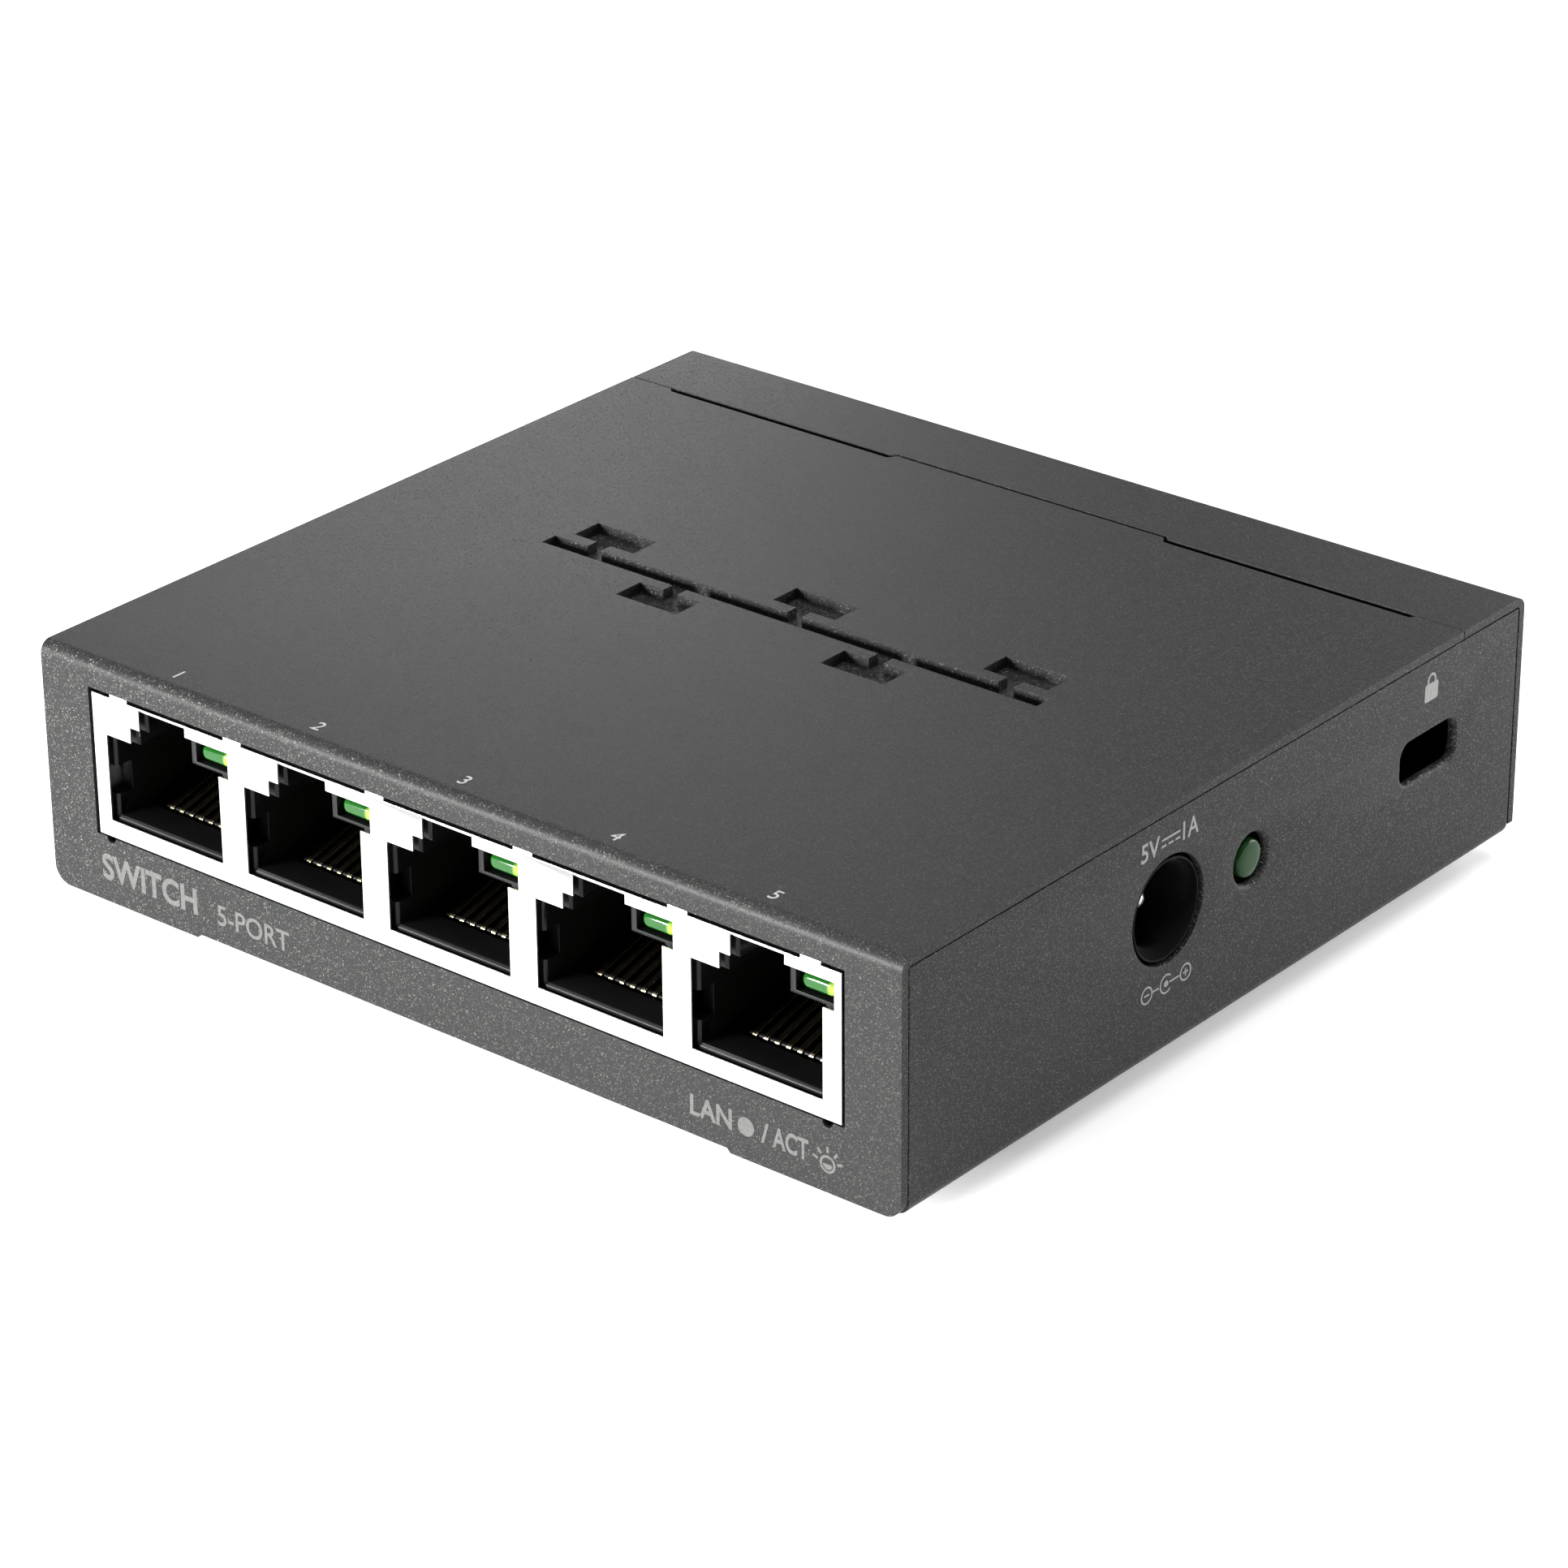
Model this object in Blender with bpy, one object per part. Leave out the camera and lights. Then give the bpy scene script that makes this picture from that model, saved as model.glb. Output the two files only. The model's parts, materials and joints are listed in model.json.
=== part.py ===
"""A five-port desktop network switch, made of separate closed solids.

Dimensions below are in millimetres and every mesh is built in metres, with +Z up.
The origin is under the middle of the case, on the plane that the rubber feet stand on.
X runs left to right seen from the ports, and Y runs from the ports to the rear.
"""
import math

import bmesh
import bpy
from mathutils import Matrix, Vector

MM = 0.001

# Case
WIDTH = 82.0
DEPTH = 76.2
CASE_HEIGHT = 20.0
FOOT_HEIGHT = 2.0
SHEET = 0.7
BEND = 1.0
GAP = 0.3
OVERSHOOT = 1.0

RIGHT = WIDTH / 2
FRONT = -DEPTH / 2
REAR = DEPTH / 2
BASE_Z = FOOT_HEIGHT
FLOOR_Z = BASE_Z + SHEET
ROOF_Z = BASE_Z + CASE_HEIGHT
CEILING_Z = ROOF_Z - SHEET
INNER_FRONT = FRONT + SHEET
INNER_REAR = REAR - SHEET
INNER_RIGHT = RIGHT - SHEET

# Front and top cover
SEAM_Y = 29.7
VENT_GAP = 0.5
VENT_INNER_X = 13.4
VENT_OUTER_X = 36.6
SEAM_TAB = 0.6
CORNER_RADIUS = 1.5
RAISED_EDGE_X = 25.6
RAISED_EDGE = 0.32
PORT_WINDOW_X = 36.1
PORT_WINDOW_LOW = 7.4
PORT_WINDOW_HIGH = 19.7
RELIEF_X = 34.6
RELIEF_RADIUS = 0.5

# Pressed symbol in the top: a bus line with boxes on stubs, alternately behind and before it
SYMBOL_LENGTH = 48.0
SYMBOL_BOXES = 5
SYMBOL_PITCH = 10.0
SYMBOL_LINE = 1.6
SYMBOL_STUB = 1.4
SYMBOL_BOX_WIDTH = 6.0
SYMBOL_BOX_NEAR = 1.9
SYMBOL_BOX_FAR = 4.75
SYMBOL_DEPTH = 0.9
SYMBOL_BACKING = 0.6
SYMBOL_MARGIN = 1.0

# Return flanges of both covers, and the four case screws through them
FLANGE_LENGTH = 8.0
FRONT_FLANGE_X = 24.0
REAR_FLANGE_X = 24.0
CASE_SCREWS = ((-18.0, -33.2), (18.0, -33.2), (-18.0, 33.2), (18.0, 33.2))
CASE_SCREW_TOP = 5.2
SCREW_RADIUS = 1.2
SCREW_HEAD_RADIUS = 2.5
SCREW_HEAD = 1.1
RECESS_RADIUS = 0.9
RECESS_DEPTH = 0.6

# Right side of the case: power socket, power light and lock slot
SOCKET_Y = -7.7
SOCKET_Z = 13.6
SOCKET_HOLE = 4.25
LIGHT_Y = 2.5
LIGHT_Z = 13.6
LIGHT_HOLE = 2.0
LOCK_Y = 25.5
LOCK_Z = 13.5
LOCK_LENGTH = 7.2
LOCK_WIDTH = 3.4
LOCK_RADIUS = 1.1

# Underside
FOOT_RADIUS = 4.5
FOOT_X = 31.0
FOOT_Y = 28.5
KEYHOLE_X = 22.0
KEYHOLE_Y = 4.0
KEYHOLE_HEAD = 3.4
KEYHOLE_SLOT = 1.8
KEYHOLE_TRAVEL = 6.5
VENT_COUNT = 7
VENT_PITCH = 4.2
VENT_WIDTH = 1.8
VENT_LENGTH = 10.0
VENT_ROW_Y = 20.0
LABEL_WIDTH = 34.0
LABEL_DEPTH = 18.0
LABEL_THICKNESS = 0.12
LABEL_GAP = 0.1
LABEL_Y = -16.0

# Circuit board and its fixings
BOARD_TOP = 7.3
BOARD_THICKNESS = 1.6
BOARD_X = 38.0
BOARD_FRONT = -35.2
BOARD_REAR = 33.0
BOARD_HOLES = ((-34.0, -10.0), (34.0, 9.5), (-34.0, 26.0), (27.0, 26.0))
BOARD_HOLE_RADIUS = 1.6
STANDOFF_RADIUS = 2.6
STANDOFF_BORE = 1.5

# Row of network ports. Port shapes are given from the left edge of each shield opening.
PORT_COUNT = 5
PORT_PITCH = 14.24
PORT_ROW_X = -0.2
PORT_WIDTH = 11.64
PORT_LOW = 9.05
PORT_HIGH = 16.16
STEP_X = 2.56
STEP_HIGH = 17.45
NOTCH_LEFT = 3.54
NOTCH_RIGHT = 8.32
NOTCH_HIGH = 19.1
LAMP_RIGHT = 12.65
LAMP_LOW = 16.2
LAMP_HIGH = 18.38
SHIELD_X = 35.8
SHIELD_FRONT = FRONT + 0.1
SHIELD_REAR = -21.4
SHIELD_LOW = 7.65
SHIELD_HIGH = 19.45
SHIELD_SHEET = 0.25
HOUSING_LEFT = -0.65
HOUSING_RIGHT = 12.75
HOUSING_FRONT = -37.45
HOUSING_REAR = -22.0
HOUSING_LOW = 7.6
HOUSING_HIGH = 18.9
CAVITY_REAR = -24.5
CAVITY_INSET = 0.3
WINDOW_LOW = 11.1
WINDOW_HIGH = 13.4
WINDOW_DEPTH = 1.5
LAMP_POCKET_LEFT = 8.9
LAMP_POCKET_RIGHT = 12.4
LAMP_POCKET_LOW = 16.4
LAMP_POCKET_HIGH = 18.3
LAMP_POCKET_REAR = -30.0
LAMP_GAP = 0.2

# Spring contacts of a port: eight wires on a root bar, hinged on the bar's axis
CONTACT_COUNT = 8
CONTACT_PITCH = 1.016
CONTACT_WIDTH = 0.45
CONTACT_THICKNESS = 0.32
ROOT_Y = -33.6
ROOT_Z = 9.05
ROOT_RADIUS = 0.38
ROOT_LENGTH = 8.4
CONTACT_TIP_Y = -26.0
CONTACT_TIP_Z = 11.25
CONTACT_NOSE_Y = -34.2
WELL_FRONT = -34.6
WELL_REAR = -25.2
WELL_LOW = 8.35
WELL_LENGTH = 9.2

# Power socket
JACK_FRONT = 39.8
JACK_REAR = 26.3
JACK_HALF_WIDTH = 4.5
JACK_HIGH = 18.6
JACK_BORE = 3.2
JACK_BOSS_RADIUS = 3.95
JACK_BOSS_FRONT = 40.8
JACK_BORE_REAR = 29.4
PIN_RADIUS = 1.0
PIN_TIP = 38.7
PIN_HOLE = 1.3
PIN_FLANGE_RADIUS = 2.0
LEAF_ROOT_X = 28.6
LEAF_ROOT_Z = 9.3
LEAF_PEAK_X = 35.0
LEAF_PEAK_Z = 10.9
LEAF_END_X = 36.4
LEAF_END_Z = 10.2
LEAF_THICKNESS = 0.3
LEAF_HALF_WIDTH = 1.0
LEAF_WELL_LOW = 8.3
LEAF_WELL_FRONT = 37.4

# Power light and its holder
LAMP_RADIUS = 1.5
LAMP_TIP = 40.95
LAMP_DOME = 0.35
LAMP_FLANGE = 1.75
HOLDER_FRONT = 39.9
HOLDER_REAR = 33.4
HOLDER_HALF_WIDTH = 2.6
HOLDER_HIGH = 16.4
HOLDER_BORE = 2.05

PAINT = (0.075, 0.076, 0.078)
RUBBER = (0.02, 0.02, 0.02)
STEEL = (0.62, 0.62, 0.60)
NICKEL = (0.86, 0.86, 0.84)
BOARD_GREEN = (0.02, 0.11, 0.06)
BLACK_PLASTIC = (0.012, 0.012, 0.013)
GOLD = (0.83, 0.62, 0.26)
LIGHT_GREEN = (0.10, 0.55, 0.12)
ALUMINIUM = (0.55, 0.56, 0.58)
CHIP_BLACK = (0.02, 0.02, 0.022)
PAD_GREY = (0.30, 0.33, 0.38)
LABEL_WHITE = (0.80, 0.80, 0.78)


def clear_scene():
    """Remove every object of the scene that the script starts in."""
    for old in list(bpy.data.objects):
        bpy.data.objects.remove(old, do_unlink=True)


def make_material(name, colour, roughness, metallic=0.0):
    """Make a Principled material of one colour."""
    material = bpy.data.materials.new(name)
    material.use_nodes = True
    shader = material.node_tree.nodes["Principled BSDF"]
    shader.inputs["Base Color"].default_value = (*colour, 1.0)
    shader.inputs["Roughness"].default_value = roughness
    shader.inputs["Metallic"].default_value = metallic
    return material


def make_object(name, bm, material=None, origin=(0.0, 0.0, 0.0), smooth=False):
    """Make one object from a bmesh that is in world millimetres, with its origin at a point."""
    bmesh.ops.recalc_face_normals(bm, faces=bm.faces)
    offset = Matrix.Translation(-Vector(origin))
    bmesh.ops.transform(bm, matrix=Matrix.Scale(MM, 4) @ offset, verts=bm.verts)
    mesh = bpy.data.meshes.new(name)
    bm.to_mesh(mesh)
    bm.free()
    if smooth:
        mesh.shade_smooth()
        mesh.set_sharp_from_angle(angle=math.radians(35.0))
    if material:
        mesh.materials.append(material)
    made = bpy.data.objects.new(name, mesh)
    made.location = Vector(origin) * MM
    bpy.context.scene.collection.objects.link(made)
    return made


def add_boolean(target, operation, bm):
    """Cut a bmesh of separate closed solids out of an object, or join it on."""
    tool = make_object(target.name + "_" + operation.lower(), bm)
    tool.hide_render = True
    tool.display_type = "WIRE"
    modifier = target.modifiers.new(operation.title(), "BOOLEAN")
    modifier.operation = operation
    modifier.solver = "EXACT"
    modifier.object = tool


def add_box(bm, low, high):
    """Add a box between its lowest and highest corners."""
    low = Vector(low)
    high = Vector(high)
    size = Matrix.Diagonal((high - low).to_4d())
    size[3][3] = 1.0
    bmesh.ops.create_cube(bm, size=1.0, matrix=Matrix.Translation((low + high) / 2) @ size)


def add_prism(bm, outline, axis, start, end):
    """Extrude a closed outline along X, Y or Z; the outline holds the two other coordinates."""
    place = {"X": lambda a, b: (start, a, b),
             "Y": lambda a, b: (a, start, b),
             "Z": lambda a, b: (a, b, start)}[axis]
    travel = {"X": (1.0, 0.0, 0.0), "Y": (0.0, 1.0, 0.0), "Z": (0.0, 0.0, 1.0)}[axis]
    face = bm.faces.new([bm.verts.new(place(a, b)) for a, b in outline])
    extruded = bmesh.ops.extrude_face_region(bm, geom=[face])
    moved = [item for item in extruded["geom"] if isinstance(item, bmesh.types.BMVert)]
    bmesh.ops.translate(bm, verts=moved, vec=Vector(travel) * (end - start))


def arc(centre, radius, first, last, steps):
    """Points of an arc between two angles in degrees, both ends included."""
    points = []
    for step in range(steps + 1):
        angle = math.radians(first + (last - first) * step / steps)
        points.append((centre[0] + radius * math.cos(angle), centre[1] + radius * math.sin(angle)))
    return points


def circle(centre, radius, steps):
    """Points of a full circle."""
    return arc(centre, radius, 0.0, 360.0, steps)[:-1]


def rounded_rectangle(centre, length, width, radius, steps=4):
    """Outline of a rectangle with round corners."""
    x = length / 2 - radius
    y = width / 2 - radius
    outline = []
    for sign_x, sign_y, first in ((1, 1, 0), (-1, 1, 90), (-1, -1, 180), (1, -1, 270)):
        corner = (centre[0] + sign_x * x, centre[1] + sign_y * y)
        outline += arc(corner, radius, first, first + 90, steps)
    return outline


def add_turned(bm, profile, centre, axis, steps):
    """Turn a profile of (radius, position) points about an axis; radius 0 is only at an end."""
    frames = {"X": ((0, 1, 0), (0, 0, 1), (1, 0, 0)), "Z": ((1, 0, 0), (0, 1, 0), (0, 0, 1))}
    across, up, along = (Vector(direction) for direction in frames[axis])
    rings = []
    for radius, position in profile:
        middle = Vector(centre) + along * position
        if radius == 0.0:
            rings.append([bm.verts.new(middle)])
            continue
        ring = circle((0.0, 0.0), radius, steps)
        rings.append([bm.verts.new(middle + across * a + up * b) for a, b in ring])
    for near, far in zip(rings, rings[1:]):
        for index in range(steps):
            following = (index + 1) % steps
            if len(near) == 1:
                bm.faces.new((near[0], far[following], far[index]))
            elif len(far) == 1:
                bm.faces.new((near[index], near[following], far[0]))
            else:
                bm.faces.new((near[index], near[following], far[following], far[index]))
    for ring in (rings[0], rings[-1]):
        if len(ring) > 1:
            bm.faces.new(ring)


def port_left(index):
    """X of the left edge of a port's opening."""
    return PORT_ROW_X + (index - (PORT_COUNT - 1) / 2) * PORT_PITCH - PORT_WIDTH / 2


def port_middle(index):
    """X of the middle of a port's opening."""
    return port_left(index) + PORT_WIDTH / 2


def shifted(outline, offset):
    """Move an outline along its first coordinate."""
    return [(a + offset, b) for a, b in outline]


def symbol_outline():
    """Outline of the pressed symbol, counter-clockwise from its left end."""
    half_line = SYMBOL_LINE / 2
    half_stub = SYMBOL_STUB / 2
    half_box = SYMBOL_BOX_WIDTH / 2
    branch = [(-half_stub, half_line), (-half_stub, SYMBOL_BOX_NEAR), (-half_box, SYMBOL_BOX_NEAR),
              (-half_box, SYMBOL_BOX_FAR), (half_box, SYMBOL_BOX_FAR), (half_box, SYMBOL_BOX_NEAR),
              (half_stub, SYMBOL_BOX_NEAR), (half_stub, half_line)]
    rear_side = []
    front_side = []
    for index in range(SYMBOL_BOXES):
        middle = (index - (SYMBOL_BOXES - 1) / 2) * SYMBOL_PITCH
        if index % 2 == 0:
            rear_side += shifted(branch, middle)
        else:
            front_side = [(middle + a, -b) for a, b in reversed(branch)] + front_side
    end = SYMBOL_LENGTH / 2
    return ([(-end, -half_line), (-end, half_line)] + rear_side
            + [(end, half_line), (end, -half_line)] + front_side)


def seam_outline(edge, shift):
    """Outline over the rear part of the top, up to the seam, with the middle tab shifted."""
    far = REAR + OVERSHOOT
    return [(-RIGHT - OVERSHOOT, edge), (-VENT_OUTER_X, edge), (-VENT_OUTER_X, edge - shift),
            (-VENT_INNER_X, edge - shift), (-VENT_INNER_X, edge + SEAM_TAB),
            (VENT_INNER_X, edge + SEAM_TAB), (VENT_INNER_X, edge - shift),
            (VENT_OUTER_X, edge - shift), (VENT_OUTER_X, edge), (RIGHT + OVERSHOOT, edge),
            (RIGHT + OVERSHOOT, far), (-RIGHT - OVERSHOOT, far)]


def make_front_top_cover(paint):
    """Front face and top in one bent sheet, with the port window and the pressed symbol."""
    outer = arc((FRONT + BEND, ROOF_Z - BEND), BEND, 180.0, 90.0, 4)
    inner = arc((FRONT + BEND, ROOF_Z - BEND), BEND - SHEET, 90.0, 180.0, 3)
    rear_edge = SEAM_Y + OVERSHOOT + SEAM_TAB
    profile = ([(FRONT, BASE_Z)] + outer + [(rear_edge, ROOF_Z), (rear_edge, CEILING_Z)]
               + inner + [(INNER_FRONT, BASE_Z)])
    bm = bmesh.new()
    add_prism(bm, profile, "X", -RIGHT, RIGHT)
    cover = make_object("front_top_cover", bm, paint)

    flange = bmesh.new()
    add_box(flange, (-FRONT_FLANGE_X, INNER_FRONT - SHEET / 2, FLOOR_Z + GAP),
            (FRONT_FLANGE_X, FRONT + FLANGE_LENGTH, FLOOR_Z + GAP + SHEET))
    backing = rounded_rectangle((0.0, 0.0), SYMBOL_LENGTH + 2 * SYMBOL_MARGIN,
                                2 * (SYMBOL_BOX_FAR + SYMBOL_MARGIN), SYMBOL_MARGIN, 3)
    add_prism(flange, backing, "Z", ROOF_Z - SYMBOL_DEPTH - SYMBOL_BACKING, ROOF_Z - SHEET / 2)
    add_boolean(cover, "UNION", flange)

    cuts = bmesh.new()
    window = [(-PORT_WINDOW_X, PORT_WINDOW_HIGH), (-PORT_WINDOW_X, PORT_WINDOW_LOW)]
    window += arc((-RELIEF_X, PORT_WINDOW_LOW), RELIEF_RADIUS, 180.0, 360.0, 6)
    window += arc((RELIEF_X, PORT_WINDOW_LOW), RELIEF_RADIUS, 180.0, 360.0, 6)
    window += [(PORT_WINDOW_X, PORT_WINDOW_LOW), (PORT_WINDOW_X, PORT_WINDOW_HIGH)]
    add_prism(cuts, window, "Y", FRONT - OVERSHOOT, INNER_FRONT + OVERSHOOT)
    add_box(cuts, (-RAISED_EDGE_X, FRONT - OVERSHOOT, BASE_Z - OVERSHOOT),
            (RAISED_EDGE_X, INNER_FRONT + OVERSHOOT, BASE_Z + RAISED_EDGE))
    for side in (-1, 1):
        corner = arc((side * (RIGHT - CORNER_RADIUS), BASE_Z + CORNER_RADIUS), CORNER_RADIUS,
                     270.0, 270.0 + side * 90.0, 5)
        outside = side * (RIGHT + OVERSHOOT)
        corner += [(outside, BASE_Z + CORNER_RADIUS), (outside, BASE_Z - OVERSHOOT),
                   (side * (RIGHT - CORNER_RADIUS), BASE_Z - OVERSHOOT)]
        add_prism(cuts, corner, "Y", FRONT - OVERSHOOT, INNER_FRONT + OVERSHOOT)
    add_prism(cuts, seam_outline(SEAM_Y - GAP / 2, VENT_GAP - GAP), "Z",
              CEILING_Z - OVERSHOOT, ROOF_Z + OVERSHOOT)
    add_prism(cuts, symbol_outline(), "Z", ROOF_Z - SYMBOL_DEPTH, ROOF_Z + OVERSHOOT)
    for x, y in CASE_SCREWS[:2]:
        add_prism(cuts, circle((x, y), SCREW_RADIUS + GAP, 16), "Z", FLOOR_Z, FLOOR_Z + 2.0)
    add_boolean(cover, "DIFFERENCE", cuts)


def make_rear_cover(paint):
    """Rear wall and the strip of the top behind the seam, with a tongue under the front cover."""
    outer = arc((REAR - BEND, ROOF_Z - BEND), BEND, 0.0, 90.0, 4)
    inner = arc((REAR - BEND, ROOF_Z - BEND), BEND - SHEET, 90.0, 0.0, 3)
    front_edge = SEAM_Y + GAP / 2
    wall_low = FLOOR_Z + GAP
    profile = ([(REAR, wall_low)] + outer + [(front_edge, ROOF_Z), (front_edge, CEILING_Z)]
               + inner + [(INNER_REAR, wall_low)])
    bm = bmesh.new()
    add_prism(bm, profile, "X", -RIGHT, RIGHT)
    cover = make_object("rear_cover", bm, paint)

    tongue_high = CEILING_Z - GAP
    tongue_low = tongue_high - SHEET
    joggle = [(SEAM_Y - 5.0, tongue_low), (SEAM_Y + 3.0, tongue_low), (SEAM_Y + 3.0, ROOF_Z - SHEET / 2),
              (SEAM_Y + 2.0, ROOF_Z - SHEET / 2), (SEAM_Y + 2.0, tongue_high),
              (SEAM_Y - 5.0, tongue_high)]
    joins = bmesh.new()
    add_prism(joins, joggle, "X", -VENT_OUTER_X, VENT_OUTER_X)
    add_box(joins, (-REAR_FLANGE_X, REAR - FLANGE_LENGTH, wall_low),
            (REAR_FLANGE_X, INNER_REAR + SHEET / 2, wall_low + SHEET))
    add_boolean(cover, "UNION", joins)

    cuts = bmesh.new()
    add_box(cuts, (-VENT_INNER_X, SEAM_Y - OVERSHOOT, CEILING_Z - GAP / 2),
            (VENT_INNER_X, front_edge + SEAM_TAB, ROOF_Z + OVERSHOOT))
    for x, y in CASE_SCREWS[2:]:
        add_prism(cuts, circle((x, y), SCREW_RADIUS + GAP, 16), "Z", FLOOR_Z, FLOOR_Z + 2.0)
    add_boolean(cover, "DIFFERENCE", cuts)


def keyhole_outline(x, y):
    """Outline of a keyhole: a round hole that takes a screw's head, and a slot for its neck."""
    half_opening = math.degrees(math.asin(KEYHOLE_SLOT / KEYHOLE_HEAD))
    head = arc((x, y), KEYHOLE_HEAD, 90.0 + half_opening, 450.0 - half_opening, 18)
    slot = arc((x, y + KEYHOLE_TRAVEL), KEYHOLE_SLOT, 0.0, 180.0, 6)
    return head + slot


def make_base_chassis(paint):
    """Floor and both side walls in one bent sheet."""
    side_high = CEILING_Z - GAP
    bend = BEND + 0.1
    left = [(-RIGHT, side_high)] + arc((-RIGHT + bend, BASE_Z + bend), bend, 180.0, 270.0, 5)
    right = arc((RIGHT - bend, BASE_Z + bend), bend, 270.0, 360.0, 5) + [(RIGHT, side_high)]
    inner_right = arc((RIGHT - bend, BASE_Z + bend), bend - SHEET, 360.0, 270.0, 3)
    inner_left = arc((-RIGHT + bend, BASE_Z + bend), bend - SHEET, 270.0, 180.0, 3)
    profile = (left + right + [(INNER_RIGHT, side_high)] + inner_right + inner_left
               + [(-INNER_RIGHT, side_high)])
    bm = bmesh.new()
    add_prism(bm, profile, "Y", INNER_FRONT + GAP, INNER_REAR - GAP)
    chassis = make_object("base_chassis", bm, paint)

    lip = bmesh.new()
    add_box(lip, (-RIGHT + 2.0, INNER_REAR - 3.0, BASE_Z), (RIGHT - 2.0, REAR, FLOOR_Z))
    add_boolean(chassis, "UNION", lip)

    cuts = bmesh.new()
    inside = INNER_RIGHT - OVERSHOOT
    outside = RIGHT + OVERSHOOT
    add_prism(cuts, circle((SOCKET_Y, SOCKET_Z), SOCKET_HOLE, 40), "X", inside, outside)
    add_prism(cuts, circle((LIGHT_Y, LIGHT_Z), LIGHT_HOLE, 24), "X", inside, outside)
    lock = rounded_rectangle((LOCK_Y, LOCK_Z), LOCK_LENGTH, LOCK_WIDTH, LOCK_RADIUS)
    add_prism(cuts, lock, "X", inside, outside)
    below = BASE_Z - OVERSHOOT
    above = FLOOR_Z + OVERSHOOT
    for side in (-1, 1):
        add_prism(cuts, keyhole_outline(side * KEYHOLE_X, KEYHOLE_Y), "Z", below, above)
    for index in range(VENT_COUNT):
        x = (index - (VENT_COUNT - 1) / 2) * VENT_PITCH
        vent = rounded_rectangle((x, VENT_ROW_Y), VENT_WIDTH, VENT_LENGTH, VENT_WIDTH / 2 - 0.01, 3)
        add_prism(cuts, vent, "Z", below, above)
    for x, y in CASE_SCREWS:
        add_prism(cuts, circle((x, y), SCREW_RADIUS + GAP, 16), "Z", below, above)
    add_boolean(chassis, "DIFFERENCE", cuts)


def make_feet(rubber):
    """Four round feet under the base."""
    top = BASE_Z - GAP
    profile = ((FOOT_RADIUS - 0.7, 0.0), (FOOT_RADIUS - 0.2, 0.25), (FOOT_RADIUS, 0.8), (FOOT_RADIUS, top))
    places = ((-FOOT_X, -FOOT_Y), (FOOT_X, -FOOT_Y), (-FOOT_X, FOOT_Y), (FOOT_X, FOOT_Y))
    for number, (x, y) in enumerate(places, start=1):
        bm = bmesh.new()
        add_turned(bm, profile, (x, y, 0.0), "Z", 20)
        make_object(f"rubber_foot_{number}", bm, rubber, smooth=True)


def make_label(white):
    """Blank rating label on the underside."""
    bm = bmesh.new()
    outline = rounded_rectangle((0.0, LABEL_Y), LABEL_WIDTH, LABEL_DEPTH, 1.0, 3)
    top = BASE_Z - LABEL_GAP
    add_prism(bm, outline, "Z", top - LABEL_THICKNESS, top)
    make_object("rating_label", bm, white)


def make_board(green):
    """Circuit board with its four fixing holes."""
    bm = bmesh.new()
    add_box(bm, (-BOARD_X, BOARD_FRONT, BOARD_TOP - BOARD_THICKNESS), (BOARD_X, BOARD_REAR, BOARD_TOP))
    board = make_object("circuit_board", bm, green)
    cuts = bmesh.new()
    for place in BOARD_HOLES:
        add_prism(cuts, circle(place, BOARD_HOLE_RADIUS, 16), "Z", 0.0, ROOF_Z)
    add_boolean(board, "DIFFERENCE", cuts)


def make_standoffs(steel):
    """Threaded posts pressed into the floor, one under each fixing hole of the board."""
    low = FLOOR_Z + GAP
    high = BOARD_TOP - BOARD_THICKNESS - GAP
    for number, (x, y) in enumerate(BOARD_HOLES, start=1):
        bm = bmesh.new()
        add_prism(bm, circle((x, y), STANDOFF_RADIUS, 6), "Z", low, high)
        post = make_object(f"board_standoff_{number}", bm, steel)
        bore = bmesh.new()
        add_prism(bore, circle((x, y), STANDOFF_BORE, 12), "Z", low - OVERSHOOT, high + OVERSHOOT)
        add_boolean(post, "DIFFERENCE", bore)


def make_screw(name, place, seat, end, steel):
    """Pan-head screw with a round drive recess; its head lies on the far side of seat from end."""
    away = 1.0 if seat > end else -1.0
    top = seat + away * SCREW_HEAD
    profile = ((0.0, end), (SCREW_RADIUS * 0.7, end + away * 0.1), (SCREW_RADIUS, end + away * 0.6),
               (SCREW_RADIUS, seat), (SCREW_HEAD_RADIUS, seat), (SCREW_HEAD_RADIUS, seat + away * 0.5),
               (SCREW_HEAD_RADIUS * 0.8, top), (RECESS_RADIUS, top),
               (RECESS_RADIUS * 0.6, top - away * RECESS_DEPTH), (0.0, top - away * RECESS_DEPTH))
    bm = bmesh.new()
    add_turned(bm, profile, (place[0], place[1], 0.0), "Z", 12)
    make_object(name, bm, steel, smooth=True)


def make_screws(steel):
    """Four screws that hold the board and four that hold the covers from below."""
    for number, place in enumerate(BOARD_HOLES, start=1):
        make_screw(f"board_screw_{number}", place, BOARD_TOP + GAP, FLOOR_Z + 0.6, steel)
    for number, place in enumerate(CASE_SCREWS, start=1):
        make_screw(f"case_screw_{number}", place, BASE_Z - GAP, CASE_SCREW_TOP, steel)


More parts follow.
